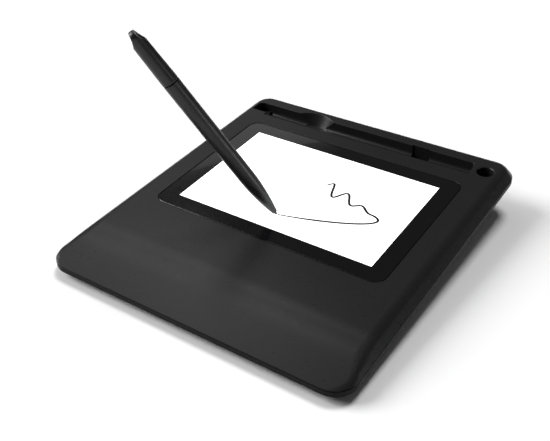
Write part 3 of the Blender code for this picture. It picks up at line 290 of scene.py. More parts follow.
def quarter(steps: int) -> list[float]:
    """Returns the angles of a quarter turn in equal steps, with both ends."""
    return [QUARTER_TURN * step / steps for step in range(steps + 1)]


def turn_on_lathe(name: str, profile: Sequence[Flat], sides: int, closed: bool = False) -> Object:
    """Draws a ring along a profile, extruding and resizing it from point to point.

    Args:
        name: The piece's name.
        profile: Points of (radius, station). A radius of 0 ends on the axis.
        sides: How many sides the turned form has.
        closed: True where the last point runs back to the first, as on a tube.

    Returns:
        The turned piece, still about Z.
    """
    points = [(max(radius, AXIS_RADIUS), station) for radius, station in profile]
    if closed:
        points.append(points[0])
    clear_selection()
    bpy.ops.mesh.primitive_circle_add(vertices=sides, radius=points[0][0], fill_type="NOTHING")
    piece = open_new(name)
    bpy.ops.transform.translate(value=(0.0, 0.0, points[0][1]))
    for (radius, station), (next_radius, next_station) in zip(points, points[1:]):
        rise = next_station - station
        bpy.ops.mesh.extrude_region_move(TRANSFORM_OT_translate={"value": (0.0, 0.0, rise)})
        if next_radius != radius:
            share = next_radius / radius
            bpy.ops.transform.resize(
                value=(share, share, 1.0), center_override=(0.0, 0.0, next_station)
            )
    bpy.ops.mesh.select_all(action="SELECT")
    bpy.ops.mesh.remove_doubles(threshold=MERGE)
    bpy.ops.mesh.normals_make_consistent(inside=False)
    close_piece()
    return piece


def merged_copy(node: str, name: str) -> Object:
    """Copies a CAD node's mesh, joins its loose triangles and merges its flat faces.

    Args:
        node: The CAD node's name.
        name: The new piece's name.

    Returns:
        The copy, at the CAD node's place.
    """
    mesh = frame["nodes"][node].data.copy()
    mesh.name = name
    mesh.materials.clear()
    piece = add_to_scene(name, mesh)
    open_piece(piece)
    bpy.ops.mesh.select_all(action="SELECT")
    bpy.ops.mesh.customdata_custom_splitnormals_clear()
    bpy.ops.mesh.mark_sharp(clear=True)
    bpy.ops.mesh.remove_doubles(threshold=MERGE)
    bpy.ops.mesh.normals_make_consistent(inside=False)
    bpy.ops.mesh.dissolve_limited(angle_limit=FLAT_ANGLE)
    close_piece()
    return piece


def put_in_place(piece: Object, place: Matrix) -> Object:
    """Moves a piece and applies the move, so that its place is in its mesh.

    Args:
        piece: The piece to move.
        place: The move, on top of where the piece is.

    Returns:
        The piece, with its object at the origin.
    """
    pick(piece)
    piece.matrix_world = place @ piece.matrix_world
    bpy.ops.object.transform_apply(location=True, rotation=True, scale=True)
    return piece


# Finishes

MIX_SHARE, MIX_FIRST, MIX_SECOND, MIX_RESULT = 0, 6, 7, 2  # a Mix node's colour sockets
NOISE_LOW, NOISE_HIGH = 0.3, 0.7  # most of a noise texture lies between these
CLOUD_SCALE = 45.0  # slow changes of tone, about 20 mm across
WEAR_SCALE = 420.0  # changes of gloss, about 2 mm across
TRACK_LOW, TRACK_HIGH = 0.42, 0.46  # where a board's cell turns into a track
TRACK_LIGHT = 2.2  # how much lighter a track is than the board
WAVE_LENGTH = 0.3  # about one turn of a Wave texture of scale 1
BRUSH_STRETCH = 0.03  # brushed lines are this share as fine along themselves


class Relief(Enum):
    """What the fine relief of a finish looks like."""

    SPARKED = "fine grain of a spark eroded mould"
    POLISHED = "polished, with hardly any relief"
    BRUSHED = "fine lines in one direction"
    WOUND = "turns of fine wire round the pen"
    TRACKS = "copper tracks under a solder mask"


class NodeSheet:
    """A material's nodes, added and joined by name."""

    def __init__(self, material: Material) -> None:
        """Opens a material's node tree.

        Args:
            material: The material whose nodes are laid out.
        """
        material.use_nodes = True
        self.tree = material.node_tree
        self.shader: Node = self.tree.nodes["Principled BSDF"]

    def add(self, kind: str, **inputs: object) -> Node:
        """Adds a node and sets its inputs, with spaces in their names as underscores.

        Args:
            kind: The node's type.
            inputs: Values or sockets for its inputs.

        Returns:
            The new node.
        """
        node = self.tree.nodes.new(kind)
        for name, value in inputs.items():
            self.feed(node, name.replace("_", " "), value)
        return node

    def feed(self, node: Node, name: str | int, value: object) -> None:
        """Sets a node's input to a value, or joins it to another node's socket.

        Args:
            node: The node that takes the input.
            name: The input's name, or its number.
            value: A value or a socket.
        """
        socket = node.inputs[name]
        if isinstance(value, NodeSocket):
            self.tree.links.new(value, socket)
        else:
            socket.default_value = value

    def set_shader(self, **inputs: object) -> None:
        """Sets the shader's own inputs, with spaces in their names as underscores."""
        for name, value in inputs.items():
            self.feed(self.shader, name.replace("_", " "), value)

    def spread(self, value: NodeSocket, low: float, high: float) -> NodeSocket:
        """Maps the middle range of a noise texture onto two values.

        Args:
            value: The texture's socket.
            low: What the range starts at.
            high: What the range ends at.

        Returns:
            The socket of the mapped value.
        """
        ranged = self.add(
            "ShaderNodeMapRange",
            Value=value, From_Min=NOISE_LOW, From_Max=NOISE_HIGH, To_Min=low, To_Max=high,
        )
        return ranged.outputs["Result"]

    def blend(
        self, share: NodeSocket, first: Point | NodeSocket, second: Point | NodeSocket
    ) -> NodeSocket:
        """Mixes two colours by a share.

        Args:
            share: 0 for the first colour, 1 for the second.
            first: A colour or a socket that gives one.
            second: A colour or a socket that gives one.

        Returns:
            The socket of the mixed colour.
        """
        mixed = self.tree.nodes.new("ShaderNodeMix")
        mixed.data_type = "RGBA"
        self.feed(mixed, MIX_SHARE, share)
        for number, colour in ((MIX_FIRST, first), (MIX_SECOND, second)):
            self.feed(mixed, number, colour if isinstance(colour, NodeSocket) else (*colour, 1.0))
        return mixed.outputs[MIX_RESULT]


@dataclass(frozen=True)
class Finish:
    """One finish: colour, gloss and the fine relief that goes with them."""

    name: str
    colour: Point
    roughness: float
    relief: Relief = Relief.SPARKED
    metallic: float = 0.0
    colour_spread: float = 0.12
    roughness_spread: float = 0.05
    grain: float = 0.0003
    depth: float = 0.00001
    coat: float = 0.0
    coat_roughness: float = 0.03
    specular: float = 0.5
    line_turn: Point = (0.0, 0.0, 0.0)

    def material(self) -> Material:
        """Makes the finish's material the first time, and finds it after that.

        Returns:
            The material.
        """
        made = bpy.data.materials.get(self.name)
        if made is not None:
            return made
        material = bpy.data.materials.new(self.name)
        sheet = NodeSheet(material)
        place = sheet.add("ShaderNodeTexCoord").outputs["Object"]
        worn = sheet.add("ShaderNodeTexNoise", Vector=place, Scale=WEAR_SCALE, Detail=4.0)
        low = max(self.roughness - self.roughness_spread, 0.0)
        high = self.roughness + self.roughness_spread
        bump = sheet.add(
            "ShaderNodeBump", Height=self.height(sheet, place), Distance=self.depth, Strength=1.0
        )
        sheet.set_shader(
            Base_Color=self.paint(sheet, place),
            Roughness=sheet.spread(worn.outputs["Fac"], low, high),
            Metallic=self.metallic,
            Specular_IOR_Level=self.specular,
            Coat_Weight=self.coat,
            Coat_Roughness=self.coat_roughness,
            Normal=bump.outputs["Normal"],
        )
        return material

    def paint(self, sheet: NodeSheet, place: NodeSocket) -> NodeSocket:
        """Lays out the colour, which changes slowly over the surface.

        Args:
            sheet: The material's nodes.
            place: Object coordinates.

        Returns:
            The socket that gives the colour.
        """
        cloudy = sheet.add("ShaderNodeTexNoise", Vector=place, Scale=CLOUD_SCALE, Detail=3.0)
        share = sheet.spread(cloudy.outputs["Fac"], 0.0, 1.0)
        dark = tuple(channel * (1 - self.colour_spread) for channel in self.colour)
        light = tuple(channel * (1 + self.colour_spread) for channel in self.colour)
        ground = sheet.blend(share, dark, light)
        if self.relief is not Relief.TRACKS:
            return ground
        bright = tuple(min(1.0, channel * TRACK_LIGHT) for channel in light)
        tracks = sheet.blend(share, light, bright)
        return sheet.blend(self.track_mask(sheet, place), ground, tracks)

    def track_mask(self, sheet: NodeSheet, place: NodeSocket) -> NodeSocket:
        """Lays out the tracks of a board.

        Args:
            sheet: The material's nodes.
            place: Object coordinates.

        Returns:
            The socket that gives 1 on the tracks and 0 between them.
        """
        cells = sheet.add("ShaderNodeTexVoronoi", Vector=place, Scale=1 / self.grain)
        cells.distance = "CHEBYCHEV"
        ranged = sheet.add(
            "ShaderNodeMapRange",
            Value=cells.outputs["Distance"], From_Min=TRACK_LOW, From_Max=TRACK_HIGH,
        )
        return ranged.outputs["Result"]

    def height(self, sheet: NodeSheet, place: NodeSocket) -> NodeSocket:
        """Lays out the fine relief.

        Args:
            sheet: The material's nodes.
            place: Object coordinates.

        Returns:
            The socket that gives the height.
        """
        if self.relief is Relief.TRACKS:
            return self.track_mask(sheet, place)
        turned = sheet.add("ShaderNodeMapping", Vector=place, Rotation=self.line_turn)
        along = turned.outputs["Vector"]
        if self.relief is Relief.WOUND:
            turns = sheet.add("ShaderNodeTexWave", Vector=along, Scale=WAVE_LENGTH / self.grain)
            turns.bands_direction = "Z"
            return turns.outputs["Fac"]
        if self.relief is Relief.BRUSHED:
            turned.inputs["Scale"].default_value = (1.0, BRUSH_STRETCH, 1.0)
        fine = sheet.add(
            "ShaderNodeTexNoise", Vector=along, Scale=1 / self.grain, Detail=4.0, Roughness=0.6
        )
        return fine.outputs["Fac"]


@dataclass(frozen=True)
class LitScreen:
    """The lit display under its glass: an even white of fine dots, and faint smears."""

    name: str = "lit display"
    colour: Point = (0.93, 0.95, 0.97)
    glow: float = 1.02
    dot: float = 0.00027
    dot_shade: float = 0.97
    smear_scale: float = 90.0
    least_roughness: float = 0.05
    most_roughness: float = 0.12
    coat: float = 0.3
    coat_roughness: float = 0.04

    def material(self) -> Material:
        """Makes the display's material.

        Returns:
            The material.
        """
        material = bpy.data.materials.new(self.name)
        sheet = NodeSheet(material)
        place = sheet.add("ShaderNodeTexCoord").outputs["Object"]
        dots = sheet.add("ShaderNodeTexNoise", Vector=place, Scale=1 / self.dot, Detail=1.0)
        smear = sheet.add("ShaderNodeTexNoise", Vector=place, Scale=self.smear_scale, Detail=5.0)
        shade = tuple(channel * self.dot_shade for channel in self.colour)
        sheet.set_shader(
            Base_Color=sheet.blend(dots.outputs["Fac"], shade, self.colour),
            Roughness=sheet.spread(smear.outputs["Fac"], self.least_roughness, self.most_roughness),
            Emission_Color=WHITE,
            Emission_Strength=self.glow,
            Coat_Weight=self.coat,
            Coat_Roughness=self.coat_roughness,
        )
        return material


PEN_TURN = (0.0, -math.radians(30.7), -math.radians(32.6))  # sets the wire square to the pen
COVER = Finish(
    "matt black cover plastic", (0.0142, 0.0142, 0.0147), 0.29, colour_spread=0.05,
    roughness_spread=0.02, grain=0.00022, depth=0.000003, specular=0.33,
)
TRAY = Finish(
    "matt dark tray plastic", (0.005, 0.005, 0.0053), 0.45, grain=0.0003, depth=0.000008,
    specular=0.08,
)
BORDER = Finish(
    "black glass border", (0.004, 0.004, 0.0045), 0.12, Relief.POLISHED, roughness_spread=0.02,
    grain=0.004, depth=0.0000004, coat=0.6,
)
INK = Finish("drawn pen line", (0.012, 0.012, 0.013), 0.4, Relief.POLISHED, grain=0.002, depth=1e-6)
SATIN = Finish(
    "satin black pen plastic", (0.013, 0.013, 0.0135), 0.34, colour_spread=0.05, grain=0.00018,
    depth=0.000003, specular=0.4,
)
NIB = Finish("grey nib plastic", (0.03, 0.03, 0.032), 0.35, grain=0.0001, depth=0.000004)
RUBBER = Finish("foot rubber", (0.022, 0.022, 0.022), 0.8, grain=0.0004, depth=0.00002)
STEEL = Finish(
    "zinc plated steel", (0.55, 0.55, 0.57), 0.3, Relief.BRUSHED, metallic=1.0,
    roughness_spread=0.1, grain=0.0001, depth=0.000003,
)
BOARD = Finish(
    "green solder mask", (0.01, 0.09, 0.035), 0.32, Relief.TRACKS, grain=0.0016, depth=0.00003,
    coat=0.4,
)
CHIP = Finish("moulded chip plastic", (0.018, 0.018, 0.019), 0.6, grain=0.00012, depth=0.000008)
CONNECTOR = Finish("ivory connector plastic", (0.66, 0.6, 0.47), 0.45, grain=0.0005, depth=0.000006)
FLEX = Finish(
    "amber cable film", (0.42, 0.17, 0.03), 0.25, Relief.BRUSHED, grain=0.0005, depth=0.00001,
    coat=0.5, line_turn=(0.0, 0.0, QUARTER_TURN),
)
TAPE = Finish("black foam tape", (0.016, 0.016, 0.016), 0.85, grain=0.0002, depth=0.00003)
PANEL = Finish(
    "display panel glass", (0.78, 0.8, 0.82), 0.2, Relief.POLISHED, grain=0.002, depth=1e-6
)
DIFFUSER = Finish("milky diffuser", (0.8, 0.8, 0.78), 0.5, grain=0.0008, depth=0.000005)
FERRITE = Finish("sintered ferrite", (0.05, 0.048, 0.047), 0.55, grain=0.00015, depth=0.00001)
COPPER = Finish(
    "enamelled copper wire", (0.72, 0.31, 0.13), 0.28, Relief.WOUND, metallic=1.0, grain=0.00012,
    depth=0.00003, coat=0.5, line_turn=PEN_TURN,
)
NODE_FINISHES = {
    "tape": TAPE, "display": PANEL, "diffuser": DIFFUSER, "steel": STEEL, "board": BOARD,
    "chip": CHIP, "connector": CONNECTOR, "flex": FLEX, "ferrite": FERRITE, "copper": COPPER,
}


def hand_over(piece: Object, finish: Finish, body: str, slot: str, *nodes: str) -> None:
    """Gives a finished piece its material, its body and the CAD nodes that it stands for.

    Args:
        piece: The finished piece.
        finish: Its finish, where it has no material yet.
        body: The CAD body it rides on.
        slot: The record's slot for its finish; not used.
        nodes: The CAD nodes that it replaces.
    """
    if not piece.data.materials:
        piece.data.materials.append(finish.material())
    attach(piece, body)
    if nodes:
        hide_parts(*nodes)
    LOG.info("%s: %d faces, on %s", piece.name, len(piece.data.polygons), body)


# The pad


@dataclass
class Covers:
    """The two covers, with their rims rounded as moulding leaves them."""

    half_width: float = 0.0795
    front: float = -0.102
    back: float = 0.0763
    corner: float = 0.0106
    parting: float = 0.0052
    band_top: float = 0.0055
    seat_half_width: float = 0.0625
    seat_half_depth: float = 0.043
    rim: float = 0.00022
    parting_rim: float = 0.00016
    least_facing: float = 0.3
    parting_reach: float = 0.00005
    parting_inset: float = 0.0005
    top_margin: float = 0.0002
    underside_margin: float = 0.001

    def inset(self, point: Vector) -> float:
        """Measures how far a point lies inside the outline.

        Args:
            point: The point in the pad's directions.

        Returns:
            The distance to the outline.
        """
        across = abs(point.x) - (self.half_width - self.corner)
        middle_y = (self.front + self.back) / 2
        along = abs(point.y - middle_y) - ((self.back - self.front) / 2 - self.corner)
        if across > 0 and along > 0:
            return self.corner - math.hypot(across, along)
        return self.corner - max(across, along)

    def shows_on_top(self, edge: BMEdge) -> bool:
        """Says whether an edge of the top cover shows from above, round the glass.

        Args:
            edge: An edge of the top cover.

        Returns:
            True where it shows.
        """
        place = TO_PAD @ middle(edge)
        if abs(place.x) < self.seat_half_width and abs(place.y) < self.seat_half_depth:
            return False
        faces_up = any(face.normal.z > self.least_facing for face in edge.link_faces)
        return faces_up and place.z > -self.parting + self.top_margin

    def at_parting(self, edge: BMEdge) -> bool:
        """Says whether an edge runs round the outline at the parting line.

        Args:
            edge: An edge of either cover.

        Returns:
            True where it does.
        """
        place = TO_PAD @ middle(edge)
        away = min(abs(place.z + self.parting), abs(place.z + self.band_top))
        return away < self.parting_reach and self.inset(place) < self.parting_inset

    def shows_below(self, edge: BMEdge) -> bool:
        """Says whether an edge of the bottom cover shows from below.

        Args:
            edge: An edge of the bottom cover.

        Returns:
            True where it shows.
        """
        place = TO_PAD @ middle(edge)
        faces_down = any(face.normal.z < -self.least_facing for face in edge.link_faces)
        low = place.z < -self.band_top - self.underside_margin
        return faces_down and low and not self.at_parting(edge)

    def top(self) -> None:
        """Builds the top cover with soft rims round its seat, groove, pocket and hole."""
        piece = merged_copy("top_cover", "cover_skin")
        round_rims(piece, self.parting_rim, self.at_parting)
        round_rims(piece, self.rim, self.shows_on_top)
        even_shading(piece)
        hand_over(piece, COVER, "pad", "matte_black", "top_cover")

    def bottom(self) -> None:
        """Builds the bottom cover with soft rims round its band and its underside."""
        piece = merged_copy("bottom_cover", "tray_skin")
        round_rims(piece, self.parting_rim, self.at_parting)
        round_rims(piece, self.parting_rim, self.shows_below)
        even_shading(piece)
        hand_over(piece, TRAY, "pad", "dark_tray", "bottom_cover")

    def build(self) -> None:
        """Builds both covers."""
        self.top()
        self.bottom()


@dataclass
class DisplayGlass:
    """The cover glass: a black border round the lit display."""

    width: float = 0.1262
    depth: float = 0.0873
    thickness: float = 0.0011
    sink: float = 0.0001
    corner: float = 0.0055
    corner_segments: int = 14
    edge_round: float = 0.00025
    edge_segments: int = 4
    lit_width: float = 0.108
    lit_depth: float = 0.0697

    def plate(self) -> Object:
        """Models the plate with rounded corners and a ground edge.

        Returns:
            The plate, in edit mode.
        """
        clear_selection()
        bpy.ops.mesh.primitive_plane_add(size=1.0)
        piece = open_new("cover_glass_plate")
        bpy.ops.transform.resize(value=(self.width, self.depth, 1.0))
        bpy.ops.mesh.bevel(
            offset=self.corner, offset_type="OFFSET", segments=self.corner_segments, profile=0.5,
            affect="VERTICES",
        )
        bpy.ops.mesh.select_all(action="SELECT")
        bpy.ops.transform.translate(value=(0.0, 0.0, -self.sink - self.thickness))
        bpy.ops.mesh.extrude_region_move(
            TRANSFORM_OT_translate={"value": (0.0, 0.0, self.thickness)}
        )
        bpy.ops.mesh.select_all(action="SELECT")
        bpy.ops.mesh.normals_make_consistent(inside=False)
        select_edges(piece, lambda edge: is_rim(edge) and middle(edge).z > -2 * self.sink)
        round_selected(self.edge_round, self.edge_segments)
        return piece

    def mark_lit_area(self, piece: Object) -> None:
        """Splits the plate along the display's sides and gives the middle its lit finish.

        Args:
            piece: The plate, in edit mode.
        """
        reach = (self.lit_width / 2, self.lit_depth / 2)
        for axis in (0, 1):
            for way in (1, -1):
                side, normal = [0.0, 0.0, 0.0], [0.0, 0.0, 0.0]
                side[axis], normal[axis] = way * reach[axis], 1.0
                bpy.ops.mesh.select_all(action="SELECT")
                bpy.ops.mesh.bisect(plane_co=side, plane_no=normal)
        close_piece()
        piece.data.materials.append(BORDER.material())
        piece.data.materials.append(LitScreen().material())
        for face in piece.data.polygons:
            inside = abs(face.center.x) < reach[0] and abs(face.center.y) < reach[1]
            if inside and face.normal.z > FACING:
                face.material_index = 1

    def build(self) -> None:
        """Builds the glass in its seat."""
        piece = self.plate()
        self.mark_lit_area(piece)
        even_shading(piece)
        put_in_place(piece, PAD)
        hand_over(piece, BORDER, "pad", "cover_glass", "cover_glass")


@dataclass
class PenLine:
    """A plain wave with a long sweep back to the pen's tip. It forms no letter."""

    start: Flat = (0.004, 0.009)
    turn: Flat = (0.038, -0.002)
    turn_pull: Flat = (0.05, -0.006)
    end_pull: Flat = (0.022, -0.018)
    end: Flat = (-0.0026, -0.0238)
    swell: float = 0.006
    swings: float = 3.0
    onset: float = 1 / 8
    width: float = 0.00125
    end_share: float = 0.45
    end_points: int = 12
    lift: float = -0.00006
    rise: float = 0.00004
    wave_steps: int = 110
    sweep_steps: int = 50

    def wave(self, share: float) -> Flat:
        """Finds a point of the wave, which dies away towards its end.

        Args:
            share: How far along the wave the point is, from 0 to 1.

        Returns:
            The point.
        """
        swell = self.swell * (1 - share) * min(1.0, share / self.onset)
        x = self.start[0] + (self.turn[0] - self.start[0]) * share
        y = self.start[1] + (self.turn[1] - self.start[1]) * share
        return (x, y + swell * math.sin(2 * math.pi * self.swings * share))

    def sweep(self, share: float) -> Flat:
        """Finds a point of the sweep back to the pen's tip.

        Args:
            share: How far along the sweep the point is, from 0 to 1.

        Returns:
            The point.
        """
        left = 1 - share
        weights = (left**3, 3 * share * left**2, 3 * share**2 * left, share**3)
        pulls = (self.turn, self.turn_pull, self.end_pull, self.end)
        x = sum(weight * pull[0] for weight, pull in zip(weights, pulls))
        y = sum(weight * pull[1] for weight, pull in zip(weights, pulls))
        return (x, y)

    def route(self) -> list[Flat]:
        """Returns the line's points: the wave, then the sweep."""
        waves = [self.wave(step / self.wave_steps) for step in range(self.wave_steps)]
        return waves + [self.sweep(step / self.sweep_steps) for step in range(self.sweep_steps + 1)]

    def offset(self, route: Sequence[Flat], index: int) -> Vector:
        """Finds how far the band's side is from its middle, thinner near both ends.

        Args:
            route: The line's points.
            index: Which of them.

        Returns:
            The step from the middle to the left side.
        """
        last = len(route) - 1
        along = Vector(route[min(index + 1, last)]) - Vector(route[max(index - 1, 0)])
        along.normalize()
        from_end = min(1.0, min(index, last - index) / self.end_points)
        reach = self.width / 2 * (self.end_share + (1 - self.end_share) * from_end)
        return Vector((-along.y, along.x)) * reach

    def build(self) -> None:
        """Builds the line as a thin band just above the lit area."""
        route = self.route()
        clear_selection()
        bpy.ops.mesh.primitive_plane_add(size=1.0)
        piece = open_new("drawn_line")
        bpy.ops.mesh.delete(type="VERT")
        shape = bmesh.from_edit_mesh(piece.data)
        sides = []
        for index, (x, y) in enumerate(route):
            side = self.offset(route, index)
            near = shape.verts.new((x - side.x, y - side.y, self.lift))
            sides.append((near, shape.verts.new((x + side.x, y + side.y, self.lift))))
        for (near, far), (next_near, next_far) in zip(sides, sides[1:]):
            shape.faces.new((near, next_near, next_far, far))
        bmesh.update_edit_mesh(piece.data)
        close_piece()
        apply_modifier(piece, "SOLIDIFY", thickness=self.rise, offset=0.0)
        put_in_place(piece, PAD)
        hand_over(piece, INK, "pad", "cover_glass")


@dataclass
class Feet:
    """Four round rubber feet with a rounded edge and fine rings underneath."""

    radius: float = 0.006
    height: float = 0.0017
    top_rim: float = 0.0001
    edge_round: float = 0.0005
    edge_steps: int = 4
    rings: tuple[float, ...] = (0.0046, 0.0032, 0.0018)
    ring_width: float = 0.0005
    ring_depth: float = 0.00015
    sides: int = 64

    def profile(self) -> list[Flat]:
        """Draws the foot's half section, from its top to the middle of its underside.

        Returns:
            Points of (radius, station).
        """
        points = [(0.0, self.height), (self.radius - self.top_rim, self.height)]
        points.append((self.radius, self.height - self.top_rim))
        for angle in quarter(self.edge_steps):
            radius = self.radius - self.edge_round * (1 - math.cos(angle))
            points.append((radius, self.edge_round * (1 - math.sin(angle))))
        half = self.ring_width / 2
        for ring in self.rings:
            points += [(ring + half, 0.0), (ring + half / 2, self.ring_depth)]
            points += [(ring - half / 2, self.ring_depth), (ring - half, 0.0)]
        points.append((0.0, 0.0))
        return points

    def build(self) -> None:
        """Turns one foot and copies it under each corner."""
        first = turn_on_lathe("foot_master", self.profile(), self.sides)
        for node in ("front_left", "front_right", "rear_left", "rear_right"):
            low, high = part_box(f"foot_{node}")
            piece = copy_of(first, f"rubber_foot_{node}")
            place = ((low.x + high.x) / 2, (low.y + high.y) / 2, low.z)
            put_in_place(piece, Matrix.Translation(place))
            even_shading(piece)
            hand_over(piece, RUBBER, "pad", "rubber", f"foot_{node}")
        bpy.data.objects.remove(first, do_unlink=True)


@dataclass
class Screws:
    """Pan head screws of one kind, with a cross recess and a fine thread.

    kind is what the CAD nodes' names start with, and turned is for heads that point up.
    """

    kind: str
    turned: bool = False
    shank: float = 0.0011
    head: float = 0.0022
    head_height: float = 0.0014
    head_rim: float = 0.0001
    head_edge: float = 0.0003
    head_steps: int = 6
    crown_share: float = 0.42
    length: float = 0.0061
    point_share: float = 0.45
    point_length: float = 0.6
    plain_length: float = 0.0006
    pitch: float = 0.0006
    thread_depth: float = 0.00016
    recess_width: float = 0.0005
    recess_depth: float = 0.0008
    recess_reach: float = 1.25
    recess_taper: Point = (0.45, 0.6, 1.0)
    sides: int = 32

    def profile(self) -> list[Flat]:
        """Draws the half section from the point, over the thread, to the head's middle.

        Returns:
            Points of (radius, station), with station 0 under the head.
        """
        points = [(0.0, self.length), (self.shank * self.point_share, self.length)]
        station = self.length - self.shank * self.point_length
        root = self.shank - self.thread_depth
        while station - self.pitch > self.plain_length:
            points += [(self.shank, station), (root, station - self.pitch / 2)]
            station -= self.pitch
        points += [(self.shank, station), (self.shank, 0.0), (self.head - self.head_rim, 0.0)]
        for angle in quarter(self.head_steps):
            share = self.crown_share + (1 - self.crown_share) * math.cos(angle)
            rise = self.head_edge + (self.head_height - self.head_edge) * math.sin(angle)
            points.append((self.head * share, -rise))
        points.append((0.0, -self.head_height))
        return points

    def recess(self) -> list[Object]:
        """Models the two crossed wedges that cut the drive recess.

        Returns:
            The wedges.
        """
        wedges = []
        for turn in (0.0, QUARTER_TURN):
            clear_selection()
            bpy.ops.mesh.primitive_cube_add(size=1.0)
            wedge = open_new("recess_wedge")
            reach = self.head * self.recess_reach
            bpy.ops.transform.resize(value=(reach, self.recess_width, 2 * self.recess_depth))
            bpy.ops.transform.translate(value=(0.0, 0.0, -self.head_height))
            select_faces(wedge, lambda face: face.normal.z > FACING)
            bpy.ops.transform.resize(value=self.recess_taper)
            close_piece()
            wedges.append(put_in_place(wedge, Matrix.Rotation(turn, 4, "Z")))
        return wedges

    def seat(self, node: str) -> Matrix:
        """Finds the place of a screw from the points of its CAD node.

        Args:
            node: The CAD node's name.

        Returns:
            The place of the screw's seat under its head.
        """
        points = [TO_PAD @ vertex.co for vertex in frame["nodes"][node].data.vertices]
        x = sum(point.x for point in points) / len(points)
        y = sum(point.y for point in points) / len(points)
        if self.turned:
            high = max(point.z for point in points)
            place = Matrix.Translation((x, y, high - self.head_height))
            return PAD @ place @ Matrix.Rotation(math.pi, 4, "X")
        low = min(point.z for point in points)
        return PAD @ Matrix.Translation((x, y, low + self.head_height))

    def build(self) -> None:
        """Makes one screw and copies it to every CAD screw of its kind."""
        first = turn_on_lathe(f"{self.kind}_master", self.profile(), self.sides)
        cut_away(first, *self.recess())
        for node in sorted(name for name in frame["nodes"] if name.startswith(self.kind)):
            piece = copy_of(first, f"cross_{node}")
            put_in_place(piece, self.seat(node))
            even_shading(piece)
            hand_over(piece, STEEL, "pad", "steel", node)
        bpy.data.objects.remove(first, do_unlink=True)


# The pen


